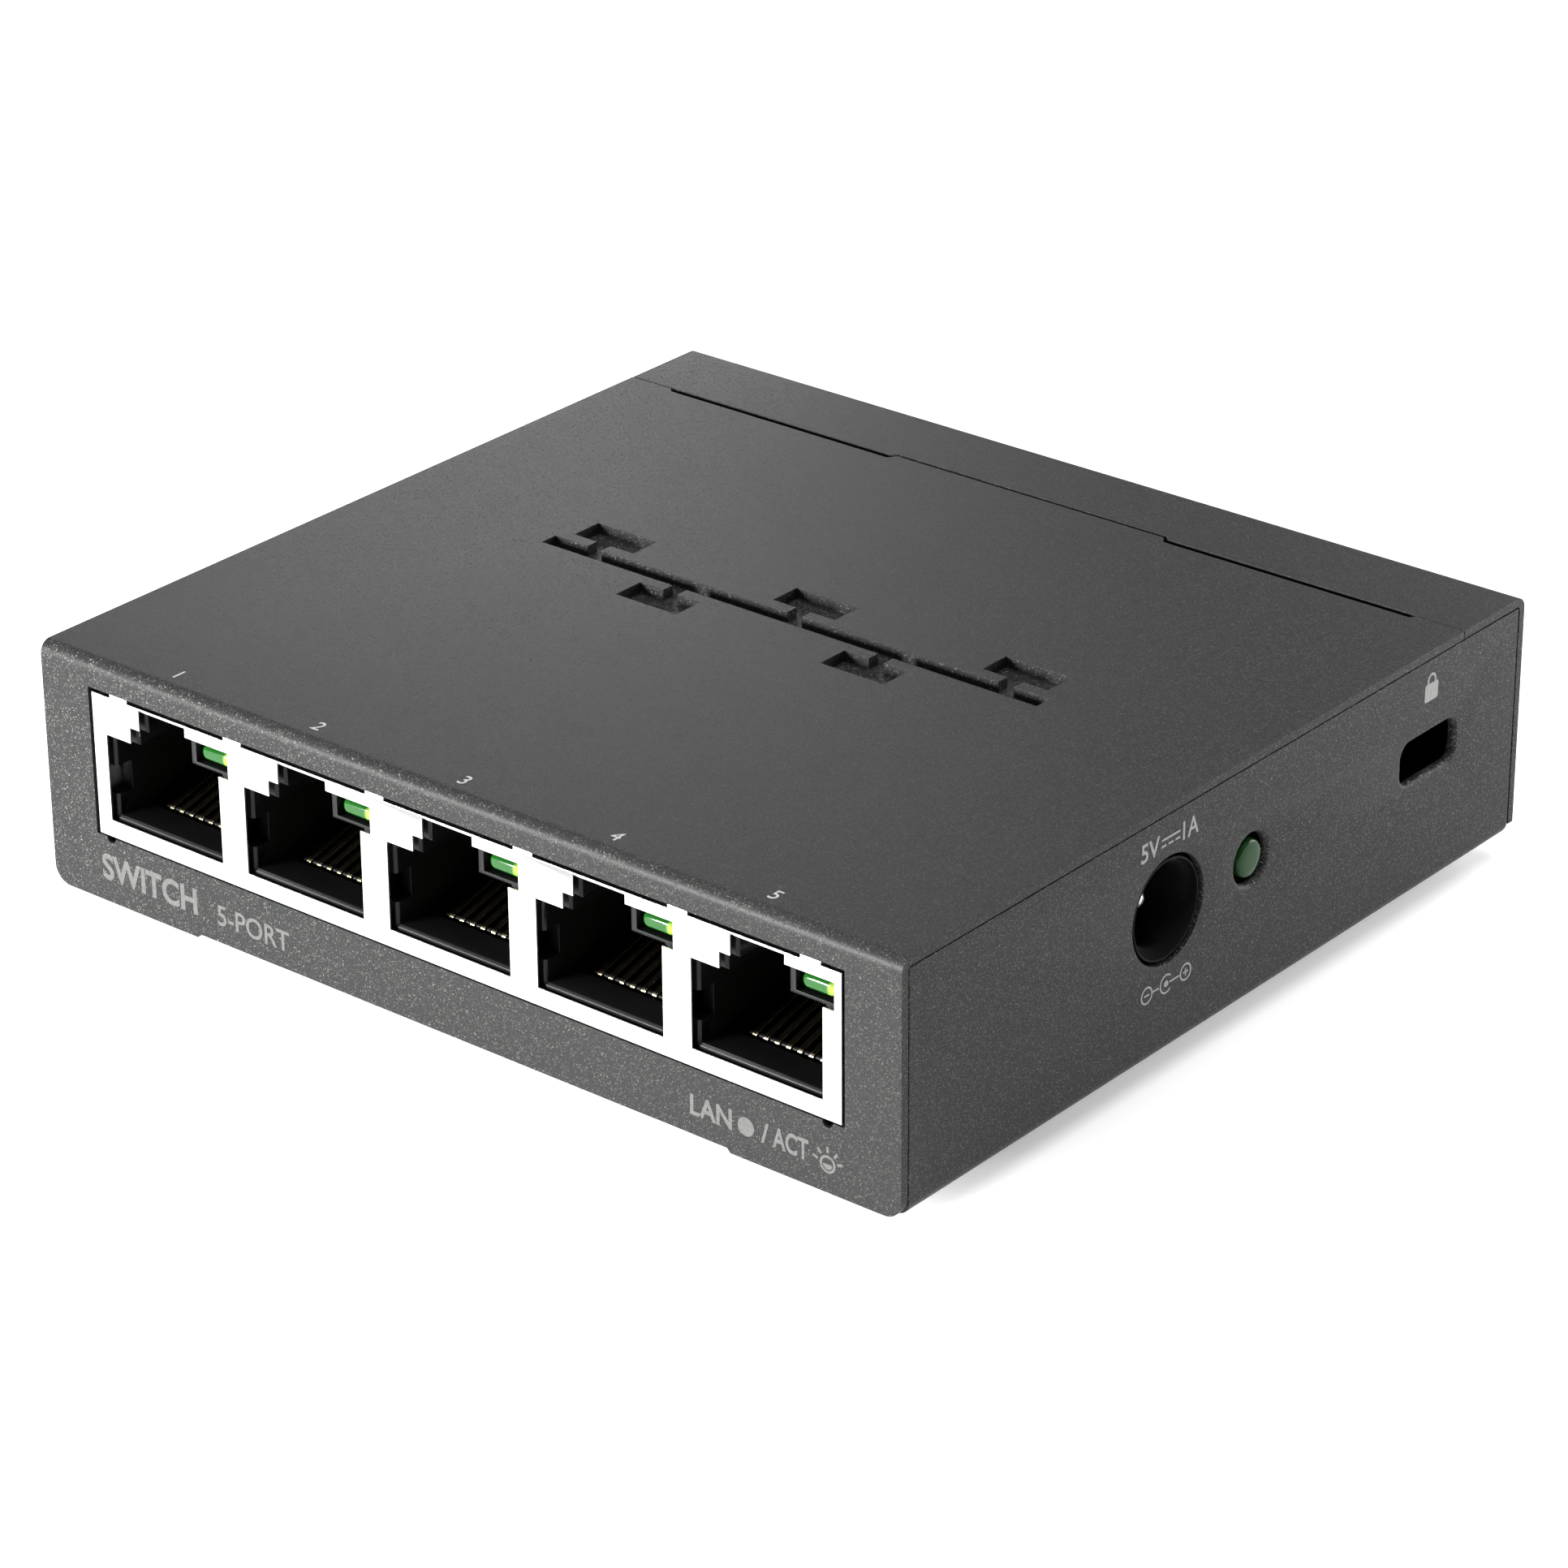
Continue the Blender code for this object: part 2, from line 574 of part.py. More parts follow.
def make_jack_shield(nickel):
    """One folded nickel-plated box round all the ports, open below."""
    middle = PORT_ROW_X / 4
    bm = bmesh.new()
    add_box(bm, (middle - SHIELD_X, SHIELD_FRONT, SHIELD_LOW), (middle + SHIELD_X, SHIELD_REAR, SHIELD_HIGH))
    shield = make_object("jack_shield", bm, nickel)
    cuts = bmesh.new()
    add_box(cuts, (middle - SHIELD_X + SHIELD_SHEET, SHIELD_FRONT + SHIELD_SHEET, SHIELD_LOW - OVERSHOOT),
            (middle + SHIELD_X - SHIELD_SHEET, SHIELD_REAR - SHIELD_SHEET, SHIELD_HIGH - SHIELD_SHEET))
    add_boolean(shield, "DIFFERENCE", cuts)
    opening = [(0.0, PORT_LOW), (PORT_WIDTH, PORT_LOW), (PORT_WIDTH, LAMP_LOW), (LAMP_RIGHT, LAMP_LOW),
               (LAMP_RIGHT, LAMP_HIGH), (NOTCH_RIGHT, LAMP_HIGH), (NOTCH_RIGHT, NOTCH_HIGH),
               (NOTCH_LEFT, NOTCH_HIGH), (NOTCH_LEFT, STEP_HIGH), (STEP_X, STEP_HIGH),
               (STEP_X, PORT_HIGH), (0.0, PORT_HIGH)]
    windows = bmesh.new()
    for index in range(PORT_COUNT):
        outline = shifted(opening, port_left(index))
        add_prism(windows, outline, "Y", SHIELD_FRONT - OVERSHOOT, SHIELD_FRONT + SHIELD_SHEET + 0.1)
    add_boolean(shield, "DIFFERENCE", windows)


def cavity_outline():
    """Outline of the plug cavity in a port housing, a little inside the shield's opening."""
    inset = CAVITY_INSET
    right = PORT_WIDTH + 0.06
    high = LAMP_POCKET_LOW - 0.4
    return [(inset, PORT_LOW + inset), (right, PORT_LOW + inset), (right, high),
            (NOTCH_RIGHT - 0.07, high), (NOTCH_RIGHT - 0.07, HOUSING_HIGH - inset),
            (NOTCH_LEFT + inset, HOUSING_HIGH - inset), (NOTCH_LEFT + inset, STEP_HIGH - inset),
            (STEP_X + inset, STEP_HIGH - inset), (STEP_X + inset, PORT_HIGH - inset),
            (inset, PORT_HIGH - inset)]


def make_port_housings(plastic):
    """Insulating body of each port: plug cavity, contact well, lamp pocket and side window."""
    for index in range(PORT_COUNT):
        left = port_left(index)
        bm = bmesh.new()
        add_box(bm, (left + HOUSING_LEFT, HOUSING_FRONT, HOUSING_LOW),
                (left + HOUSING_RIGHT, HOUSING_REAR, HOUSING_HIGH))
        housing = make_object(f"port_housing_{index + 1}", bm, plastic)
        cavity = bmesh.new()
        add_prism(cavity, shifted(cavity_outline(), left), "Y", HOUSING_FRONT - OVERSHOOT, CAVITY_REAR)
        add_boolean(housing, "DIFFERENCE", cavity)
        pockets = bmesh.new()
        middle = port_middle(index)
        add_box(pockets, (middle - WELL_LENGTH / 2, WELL_FRONT, WELL_LOW),
                (middle + WELL_LENGTH / 2, WELL_REAR, PORT_LOW + OVERSHOOT))
        add_box(pockets, (left + LAMP_POCKET_LEFT, HOUSING_FRONT - OVERSHOOT, LAMP_POCKET_LOW),
                (left + LAMP_POCKET_RIGHT, LAMP_POCKET_REAR, LAMP_POCKET_HIGH))
        add_box(pockets, (left + HOUSING_LEFT - OVERSHOOT, HOUSING_FRONT - OVERSHOOT, WINDOW_LOW),
                (left + OVERSHOOT, HOUSING_FRONT + WINDOW_DEPTH, WINDOW_HIGH))
        add_boolean(housing, "DIFFERENCE", pockets)


def make_port_contacts(gold):
    """Eight contact wires on a root bar, for each port; the origin is on the bar's axis."""
    rise = (CONTACT_TIP_Z - ROOT_Z) / (CONTACT_TIP_Y - ROOT_Y)
    nose_z = ROOT_Z + rise * (CONTACT_NOSE_Y - ROOT_Y)
    half = CONTACT_THICKNESS / 2
    wire = [(CONTACT_NOSE_Y, nose_z - half), (CONTACT_TIP_Y, CONTACT_TIP_Z - half),
            (CONTACT_TIP_Y, CONTACT_TIP_Z + half), (CONTACT_NOSE_Y, nose_z + half)]
    for index in range(PORT_COUNT):
        middle = port_middle(index)
        bm = bmesh.new()
        add_prism(bm, circle((ROOT_Y, ROOT_Z), ROOT_RADIUS, 10), "X",
                  middle - ROOT_LENGTH / 2, middle + ROOT_LENGTH / 2)
        contacts = make_object(f"port_contacts_{index + 1}", bm, gold, origin=(middle, ROOT_Y, ROOT_Z))
        wires = bmesh.new()
        for number in range(CONTACT_COUNT):
            x = middle + (number - (CONTACT_COUNT - 1) / 2) * CONTACT_PITCH
            add_prism(wires, wire, "X", x - CONTACT_WIDTH / 2, x + CONTACT_WIDTH / 2)
        add_boolean(contacts, "UNION", wires)


def make_port_lamps(lens):
    """Link light of each port, in the pocket beside the latch notch."""
    for index in range(PORT_COUNT):
        left = port_left(index)
        bm = bmesh.new()
        low = LAMP_POCKET_LOW + LAMP_GAP
        high = LAMP_POCKET_HIGH - LAMP_GAP
        outline = rounded_rectangle(((LAMP_POCKET_LEFT + LAMP_POCKET_RIGHT) / 2 + left, (low + high) / 2),
                                    LAMP_POCKET_RIGHT - LAMP_POCKET_LEFT - 2 * LAMP_GAP, high - low,
                                    0.45, 3)
        add_prism(bm, outline, "Y", HOUSING_FRONT + LAMP_GAP, LAMP_POCKET_REAR - LAMP_GAP)
        make_object(f"port_light_{index + 1}", bm, lens, smooth=True)


def make_power_jack(plastic, nickel):
    """Power socket: moulded body, centre pin and the leaf spring that grips the plug's barrel."""
    bm = bmesh.new()
    add_box(bm, (JACK_REAR, SOCKET_Y - JACK_HALF_WIDTH, BOARD_TOP + GAP),
            (JACK_FRONT, SOCKET_Y + JACK_HALF_WIDTH, JACK_HIGH))
    body = make_object("power_jack_housing", bm, plastic)
    boss = bmesh.new()
    add_prism(boss, circle((SOCKET_Y, SOCKET_Z), JACK_BOSS_RADIUS, 28), "X", JACK_FRONT - 0.5, JACK_BOSS_FRONT)
    add_boolean(body, "UNION", boss)
    bore = bmesh.new()
    add_prism(bore, circle((SOCKET_Y, SOCKET_Z), JACK_BORE, 28), "X", JACK_BORE_REAR, JACK_BOSS_FRONT + OVERSHOOT)
    add_boolean(body, "DIFFERENCE", bore)
    hole = bmesh.new()
    add_prism(hole, circle((SOCKET_Y, SOCKET_Z), PIN_HOLE, 16), "X", JACK_REAR - OVERSHOOT,
              JACK_BORE_REAR + OVERSHOOT)
    add_box(hole, (LEAF_ROOT_X - 0.9, SOCKET_Y - LEAF_HALF_WIDTH - GAP, LEAF_WELL_LOW),
            (LEAF_WELL_FRONT, SOCKET_Y + LEAF_HALF_WIDTH + GAP, SOCKET_Z - JACK_BORE + 1.0))
    add_boolean(body, "DIFFERENCE", hole)

    pin_profile = ((PIN_FLANGE_RADIUS, JACK_REAR - GAP - 0.8), (PIN_FLANGE_RADIUS, JACK_REAR - GAP),
                   (PIN_RADIUS, JACK_REAR - GAP), (PIN_RADIUS, PIN_TIP - 0.8),
                   (PIN_RADIUS * 0.85, PIN_TIP - 0.35), (PIN_RADIUS * 0.5, PIN_TIP - 0.08), (0.0, PIN_TIP))
    bm = bmesh.new()
    add_turned(bm, pin_profile, (0.0, SOCKET_Y, SOCKET_Z), "X", 16)
    make_object("power_jack_pin", bm, nickel, smooth=True)

    half = LEAF_THICKNESS / 2
    middle_line = ((LEAF_ROOT_X, LEAF_ROOT_Z), (LEAF_PEAK_X, LEAF_PEAK_Z), (LEAF_END_X, LEAF_END_Z))
    outline = [(x, z - half) for x, z in middle_line]
    outline += [(x, z + half) for x, z in reversed(middle_line)]
    bm = bmesh.new()
    add_prism(bm, outline, "Y", SOCKET_Y - LEAF_HALF_WIDTH, SOCKET_Y + LEAF_HALF_WIDTH)
    make_object("power_jack_spring", bm, nickel, origin=(LEAF_ROOT_X, SOCKET_Y, LEAF_ROOT_Z))


def make_power_light(plastic, lens):
    """Power light with its domed tip in the side wall's hole, and the holder that carries it."""
    profile = [(LAMP_FLANGE, HOLDER_REAR + 0.4), (LAMP_FLANGE, HOLDER_REAR + 1.4), (LAMP_RADIUS, HOLDER_REAR + 1.4)]
    for bulge, across in arc((0.0, 0.0), 1.0, 90.0, 0.0, 5)[:-1]:
        profile.append((across * LAMP_RADIUS, LAMP_TIP - LAMP_DOME + bulge * LAMP_DOME))
    profile.append((0.0, LAMP_TIP))
    bm = bmesh.new()
    add_turned(bm, profile, (0.0, LIGHT_Y, LIGHT_Z), "X", 16)
    make_object("power_light", bm, lens, smooth=True)

    bm = bmesh.new()
    add_box(bm, (HOLDER_REAR, LIGHT_Y - HOLDER_HALF_WIDTH, BOARD_TOP + GAP),
            (HOLDER_FRONT, LIGHT_Y + HOLDER_HALF_WIDTH, HOLDER_HIGH))
    holder = make_object("power_light_holder", bm, plastic)
    bore = bmesh.new()
    add_prism(bore, circle((LIGHT_Y, LIGHT_Z), HOLDER_BORE, 20), "X", HOLDER_REAR - OVERSHOOT,
              HOLDER_FRONT + OVERSHOOT)
    add_boolean(holder, "DIFFERENCE", bore)


def make_block(name, centre, size, low, material):
    """Rectangular component that stands on the board; centre is (x, y) and size (x, y, z)."""
    bm = bmesh.new()
    half_x = size[0] / 2
    half_y = size[1] / 2
    add_box(bm, (centre[0] - half_x, centre[1] - half_y, low),
            (centre[0] + half_x, centre[1] + half_y, low + size[2]))
    return make_object(name, bm, material)


def make_electronics(materials):
    """Components on the board that the ports and the power socket need to work."""
    seat = BOARD_TOP + GAP
    chip_place = (-6.0, 4.0)
    make_block("switch_chip", chip_place, (14.0, 14.0, 1.0), seat, materials["chip"])
    make_block("thermal_pad", chip_place, (12.0, 12.0, 0.5), seat + 1.0 + GAP, materials["pad"])
    sink_low = seat + 1.5 + 2 * GAP
    sink = make_block("heat_sink", chip_place, (19.0, 19.0, 1.5), sink_low, materials["aluminium"])
    fins = bmesh.new()
    for index in range(6):
        x = chip_place[0] + (index - 2.5) * 3.4
        add_box(fins, (x - 0.5, chip_place[1] - 9.4, sink_low + 0.8), (x + 0.5, chip_place[1] + 9.4, sink_low + 6.0))
    add_boolean(sink, "UNION", fins)
    for index in range(PORT_COUNT):
        centre = (port_middle(index), -16.2)
        make_block(f"lan_transformer_{index + 1}", centre, (12.4, 6.6, 5.4), seat, materials["chip"])
    make_block("flash_chip", (-24.0, 14.0), (5.3, 5.2, 1.8), seat, materials["chip"])
    make_block("voltage_regulator", (19.5, 10.0), (6.5, 6.5, 2.2), seat, materials["chip"])
    make_block("power_inductor_1", (28.0, 9.0), (7.0, 7.0, 4.0), seat, materials["chip"])
    make_block("power_inductor_2", (19.5, 19.0), (7.0, 7.0, 4.0), seat, materials["chip"])
    bm = bmesh.new()
    add_prism(bm, rounded_rectangle((-24.0, 3.0), 11.0, 4.6, 2.29, 4), "Z", seat, seat + 3.4)
    make_object("crystal", bm, materials["steel"], smooth=True)
    for number, place in enumerate(((16.5, -4.0), (16.5, 3.5)), start=1):
        bm = bmesh.new()
        profile = ((3.15, seat), (3.15, seat + 1.0), (2.9, seat + 1.3), (3.15, seat + 1.6),
                   (3.15, seat + 7.4), (2.85, seat + 7.7))
        add_turned(bm, profile, (place[0], place[1], 0.0), "Z", 20)
        make_object(f"electrolytic_capacitor_{number}", bm, materials["aluminium"], smooth=True)


def main():
    clear_scene()
    paint = make_material("powder_coat", PAINT, 0.55, 0.1)
    rubber = make_material("rubber", RUBBER, 0.9)
    steel = make_material("zinc_steel", STEEL, 0.35, 1.0)
    nickel = make_material("nickel_plate", NICKEL, 0.25, 1.0)
    plastic = make_material("black_plastic", BLACK_PLASTIC, 0.4)
    gold = make_material("gold_plate", GOLD, 0.25, 1.0)
    lens = make_material("green_lens", LIGHT_GREEN, 0.2)
    electronics = {
        "chip": make_material("chip_black", CHIP_BLACK, 0.5),
        "pad": make_material("thermal_pad", PAD_GREY, 0.8),
        "aluminium": make_material("aluminium", ALUMINIUM, 0.4, 1.0),
        "steel": steel,
    }
    make_front_top_cover(paint)
    make_rear_cover(paint)
    make_base_chassis(paint)
    make_feet(rubber)
    make_label(make_material("label_white", LABEL_WHITE, 0.6))
    make_board(make_material("board_green", BOARD_GREEN, 0.45))
    make_standoffs(steel)
    make_screws(steel)
    make_jack_shield(nickel)
    make_port_housings(plastic)
    make_port_contacts(gold)
    make_port_lamps(lens)
    make_power_jack(plastic, nickel)
    make_power_light(plastic, lens)
    make_electronics(electronics)


main()
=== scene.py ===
"""Looks of a five-port desktop network switch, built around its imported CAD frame.

Shapes are given in millimetres, in the frame's axes, and each mesh is made in metres.
"""
import json
import math

import bmesh
import bpy
from mathutils import Matrix
from mathutils import Vector


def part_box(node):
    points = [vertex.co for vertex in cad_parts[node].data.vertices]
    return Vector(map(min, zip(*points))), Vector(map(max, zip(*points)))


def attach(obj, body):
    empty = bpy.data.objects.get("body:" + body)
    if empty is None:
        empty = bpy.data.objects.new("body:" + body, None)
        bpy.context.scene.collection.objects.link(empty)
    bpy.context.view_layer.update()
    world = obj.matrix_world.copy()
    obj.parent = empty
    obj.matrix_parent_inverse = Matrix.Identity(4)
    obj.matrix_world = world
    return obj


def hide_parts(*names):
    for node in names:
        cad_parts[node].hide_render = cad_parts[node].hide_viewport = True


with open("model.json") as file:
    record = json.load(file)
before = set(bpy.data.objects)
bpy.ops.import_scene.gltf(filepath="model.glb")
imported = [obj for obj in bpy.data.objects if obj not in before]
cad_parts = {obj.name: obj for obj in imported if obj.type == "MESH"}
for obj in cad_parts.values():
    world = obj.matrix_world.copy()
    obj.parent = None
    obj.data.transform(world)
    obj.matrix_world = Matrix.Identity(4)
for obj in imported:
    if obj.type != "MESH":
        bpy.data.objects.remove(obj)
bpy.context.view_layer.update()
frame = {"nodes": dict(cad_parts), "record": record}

MM = 0.001
OVERSHOOT = 1.0
OVERLAP = 0.05

# ---------------------------------------------------------------- sizes from the frame


def node_box(node):
    """Lowest and highest corner of a CAD node, in millimetres."""
    low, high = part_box(node)
    return Vector(low) / MM, Vector(high) / MM


CASE_LOW, CASE_HIGH = node_box("front_top_cover")
REAR_HIGH = node_box("rear_cover")[1]
LEFT = CASE_LOW.x
RIGHT = CASE_HIGH.x
FRONT = CASE_LOW.y
REAR = REAR_HIGH.y
BASE_Z = CASE_LOW.z
ROOF_Z = CASE_HIGH.z
SHEET = 0.7
SEAM = 0.12
BEND = 1.0
INNER_RIGHT = RIGHT - SHEET
INNER_FRONT = FRONT + SHEET
INNER_REAR = REAR - SHEET
CEILING_Z = ROOF_Z - SHEET
FLOOR_Z = BASE_Z + SHEET
REAR_WALL_Z = BASE_Z + 0.9
EDGE_ROUND = 0.07

# Flanges by which both covers are screwed to the floor
FLANGE_X = 24.0
FLANGE_DEPTH = 8.0
FLANGE_Z = FLOOR_Z + 0.3

# Seam in the top: y of the front cover's edge and of the rear cover's edge, each at the ends,
# along the two vent gaps and at the middle tab
SEAM_END_X = 36.6
SEAM_TAB_X = 13.4
SEAM_STEP = 0.45
SEAM_FRONT = (29.68, 29.2, 29.92)
SEAM_REAR = (29.78, 29.82, 30.28)
SEAM_LIP = 0.1
SEAM_UNDERCUT = 0.5
TONGUE_DROP = 0.2
TONGUE_REACH = 5.0

# Pressed symbol
SYMBOL_LENGTH = 48.0
SYMBOL_BOXES = 5
SYMBOL_PITCH = 10.0
SYMBOL_LINE = 1.6
SYMBOL_STUB = 1.4
SYMBOL_BOX_WIDTH = 6.0
SYMBOL_BOX_NEAR = 1.9
SYMBOL_BOX_FAR = 4.75
SYMBOL_DEPTH = 0.9
SYMBOL_BACKING = 0.6
SYMBOL_MARGIN = 1.0

# Front of the case
WINDOW_X = 36.1
WINDOW_LOW = 7.56
WINDOW_HIGH = 19.7
RELIEF_X = 34.6
RELIEF_RADIUS = 0.45
RAISED_EDGE_X = 25.6
RAISED_EDGE = 0.32
CORNER_RADIUS = 1.5

# Right side of the case
SOCKET = (-7.7, 13.6)
SOCKET_HOLE = 4.25
SOCKET_RIM = 0.08
# Flare of the socket's mouth: radius, and x from the front of the body
SOCKET_MOUTH = ((2.4, -2.0), (3.78, 0.0), (3.85, 0.3))
LIGHT = (2.5, 13.6)
LIGHT_HOLE = 2.0
LOCK = (25.5, 13.5)
LOCK_SIZE = (7.2, 3.4, 1.1)
RIM = 0.42

# Underside
KEYHOLES = (-22.0, 22.0)
KEYHOLE_Y = 4.0
KEYHOLE_HEAD = 3.4
KEYHOLE_SLOT = 1.8
KEYHOLE_TRAVEL = 6.5
VENT_COUNT = 7
VENT_PITCH = 4.2
VENT_SIZE = (1.8, 10.0)
VENT_ROW_Y = 20.0
CASE_SCREWS = ((-18.0, -33.2), (18.0, -33.2), (-18.0, 33.2), (18.0, 33.2))
SCREW_HOLE = 1.5

# Ports; their shapes are given from the left edge of each opening in the shield
PORT_COUNT = 5
PORT_PITCH = 14.24
PORT_ROW_X = -0.2
PORT_WIDTH = 11.64
# (x, z): from the lower left corner, anticlockwise, round the lens pocket and the latch steps
OPENING = ((0.0, 9.05), (11.64, 9.05), (11.64, 16.2), (12.65, 16.2), (12.65, 18.38), (8.32, 18.38),
           (8.32, 19.2), (3.54, 19.2), (3.54, 17.45), (2.56, 17.45), (2.56, 16.16), (0.0, 16.16))
# The same for the housing's cavity, without the lens pocket
CAVITY = ((0.3, 9.35), (11.34, 9.35), (11.34, 16.0), (8.25, 16.0), (8.25, 18.6), (3.84, 18.6),
          (3.84, 17.15), (2.86, 17.15), (2.86, 15.86), (0.3, 15.86))
HOUSING_LEAD_IN = 0.2
SHIELD_SHEET = 0.25
SHIELD_PLATE = 0.15
SHIELD_TOP_DROP = 0.13
SHIELD_INSET = 0.25
TAB_PLACES = (-33.05, -21.3, -7.1, 7.1, 21.3, 33.05)
TAB_WIDTH = 1.8

# Contacts: each strip bends round WIRE_ROOT and slopes over the line to WIRE_TIP (y, z)
CONTACT_COUNT = 8
CONTACT_PITCH = 1.016
WIRE_WIDTH = 0.46
WIRE_THICKNESS = 0.2
WIRE_ROOT = (-33.6, 9.05)
WIRE_TIP = (-26.0, 11.2)
WIRE_BEND = 0.4
WIRE_START = 290.0
BAR_HALF_LENGTH = 4.2

# Lenses; LENS_CORNER is the corner radius over the height
LENS_HEIGHT = 1.15
LENS_ROUND = 0.5
LENS_SQUEEZE = 1.4
LENS_CORNER = 0.45
POWER_LENS_RADIUS = 1.5

# ---------------------------------------------------------------- mesh tools


def add_box(bm, low, high):
    """Add a box between its lowest and highest corners."""
    low = Vector(low)
    high = Vector(high)
    size = Matrix.Diagonal((*(high - low), 1.0))
    bmesh.ops.create_cube(bm, size=1.0, matrix=Matrix.Translation((low + high) / 2) @ size)


def add_prism(bm, outline, axis, start, end):
    """Extrude a closed outline along X, Y or Z; the outline holds the two other coordinates."""
    place = {"X": lambda a, b: (start, a, b),
             "Y": lambda a, b: (a, start, b),
             "Z": lambda a, b: (a, b, start)}[axis]
    travel = {"X": (1.0, 0.0, 0.0), "Y": (0.0, 1.0, 0.0), "Z": (0.0, 0.0, 1.0)}[axis]
    face = bm.faces.new([bm.verts.new(place(a, b)) for a, b in outline])
    extruded = bmesh.ops.extrude_face_region(bm, geom=[face])
    moved = [item for item in extruded["geom"] if isinstance(item, bmesh.types.BMVert)]
    bmesh.ops.translate(bm, verts=moved, vec=Vector(travel) * (end - start))


def arc(centre, radius, first, last, steps):
    """Points of an arc between two angles in degrees, both ends included."""
    points = []
    for step in range(steps + 1):
        angle = math.radians(first + (last - first) * step / steps)
        points.append((centre[0] + radius * math.cos(angle), centre[1] + radius * math.sin(angle)))
    return points


def circle(centre, radius, steps):
    """Points of a full circle."""
    return arc(centre, radius, 0.0, 360.0, steps)[:-1]


def rounded_rectangle(centre, length, width, radius, steps=8):
    """Outline of a rectangle with round corners."""
    x = length / 2 - radius
    y = width / 2 - radius
    outline = []
    for sign_x, sign_y, first in ((1, 1, 0), (-1, 1, 90), (-1, -1, 180), (1, -1, 270)):
        corner = (centre[0] + sign_x * x, centre[1] + sign_y * y)
        outline += arc(corner, radius, first, first + 90, steps)
    return outline


def add_skin(bm, rings):
    """Join rings of points by straight sides, and close both ends."""
    loops = [[bm.verts.new(point) for point in ring] for ring in rings]
    for near, far in zip(loops, loops[1:]):
        for index in range(len(near)):
            following = (index + 1) % len(near)
            bm.faces.new((near[index], near[following], far[following], far[index]))
    bm.faces.new(loops[0])
    bm.faces.new(loops[-1])


def add_turned(bm, profile, centre, axis, steps):
    """Turn a profile of (radius, position) points about an axis; radius 0 is only at an end."""
    frames = {"X": ((0, 1, 0), (0, 0, 1), (1, 0, 0)), "Z": ((1, 0, 0), (0, 1, 0), (0, 0, 1))}
    across, up, along = (Vector(direction) for direction in frames[axis])
    rings = []
    for radius, position in profile:
        middle = Vector(centre) + along * position
        if radius == 0.0:
            rings.append([bm.verts.new(middle)])
            continue
        rings.append([bm.verts.new(middle + across * a + up * b)
                      for a, b in circle((0.0, 0.0), radius, steps)])
    for near, far in zip(rings, rings[1:]):
        for index in range(steps):
            following = (index + 1) % steps
            if len(near) == 1:
                bm.faces.new((near[0], far[following], far[index]))
            elif len(far) == 1:
                bm.faces.new((near[index], near[following], far[0]))
            else:
                bm.faces.new((near[index], near[following], far[following], far[index]))
    for ring in (rings[0], rings[-1]):
        if len(ring) > 1:
            bm.faces.new(ring)


def add_band(bm, centre, inner, outer, first, last, steps, low, high):
    """Add a flat ring, or a stretch of one, in the local XY plane."""
    whole = last - first >= 360.0
    corners = []
    for step in range(steps + (0 if whole else 1)):
        angle = math.radians(first + (last - first) * step / steps)
        ray = (math.cos(angle), math.sin(angle))
        corners.append([bm.verts.new((centre[0] + r * ray[0], centre[1] + r * ray[1], z))
                        for r, z in ((inner, low), (outer, low), (outer, high), (inner, high))])
    pairs = list(zip(corners, corners[1:]))
    if whole:
        pairs.append((corners[-1], corners[0]))
    else:
        bm.faces.new(corners[0])
        bm.faces.new(corners[-1])
    for near, far in pairs:
        for side in range(4):
            other = (side + 1) % 4
            bm.faces.new((near[side], near[other], far[other], far[side]))


def shifted(outline, offset):
    """Move an outline along its first coordinate."""
    return [(a + offset, b) for a, b in outline]


def bare_object(name, bm, origin=(0.0, 0.0, 0.0)):
    """Make an object from a bmesh in millimetres."""
    bmesh.ops.recalc_face_normals(bm, faces=bm.faces)
    move = Matrix.Scale(MM, 4) @ Matrix.Translation(-Vector(origin))
    bmesh.ops.transform(bm, matrix=move, verts=bm.verts)
    mesh = bpy.data.meshes.new(name)
    bm.to_mesh(mesh)
    bm.free()
    made = bpy.data.objects.new(name, mesh)
    made.location = Vector(origin) * MM
    bpy.context.scene.collection.objects.link(made)
    return made


def apply_modifiers(target):
    """Replace an object's mesh by its evaluated one."""
    evaluated = target.evaluated_get(bpy.context.evaluated_depsgraph_get())
    mesh = bpy.data.meshes.new_from_object(evaluated)
    target.modifiers.clear()
    target.data = mesh


def carve(target, operation, bm):
    """Cut the solids of a bmesh out of an object, or join them on."""
    tool = bare_object("tool", bm)
    modifier = target.modifiers.new("boolean", "BOOLEAN")
    modifier.operation = operation
    modifier.solver = "EXACT"
    modifier.object = tool
    apply_modifiers(target)
    bpy.data.objects.remove(tool, do_unlink=True)


def round_edges(target, width, segments=2, angle=30.0):
    """Round an object's sharp edges by a width in millimetres."""
    modifier = target.modifiers.new("round_edges", "BEVEL")
    modifier.width = width * MM
    modifier.segments = segments
    modifier.limit_method = "ANGLE"
    modifier.angle_limit = math.radians(angle)
    modifier.use_clamp_overlap = True
    modifier.harden_normals = True


def finish_piece(piece, material, body="root", replaces=(), smooth_angle=None):
    """Shade a piece, give it its material, hang it on its body and hide the CAD nodes it replaces.
    """
    piece.data.materials.clear()
    piece.data.materials.append(material)
    piece.data.shade_smooth()
    if smooth_angle is not None:
        piece.data.set_sharp_from_angle(angle=math.radians(smooth_angle))
    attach(piece, body)
    if replaces:
        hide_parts(*replaces)


# ---------------------------------------------------------------- material tools


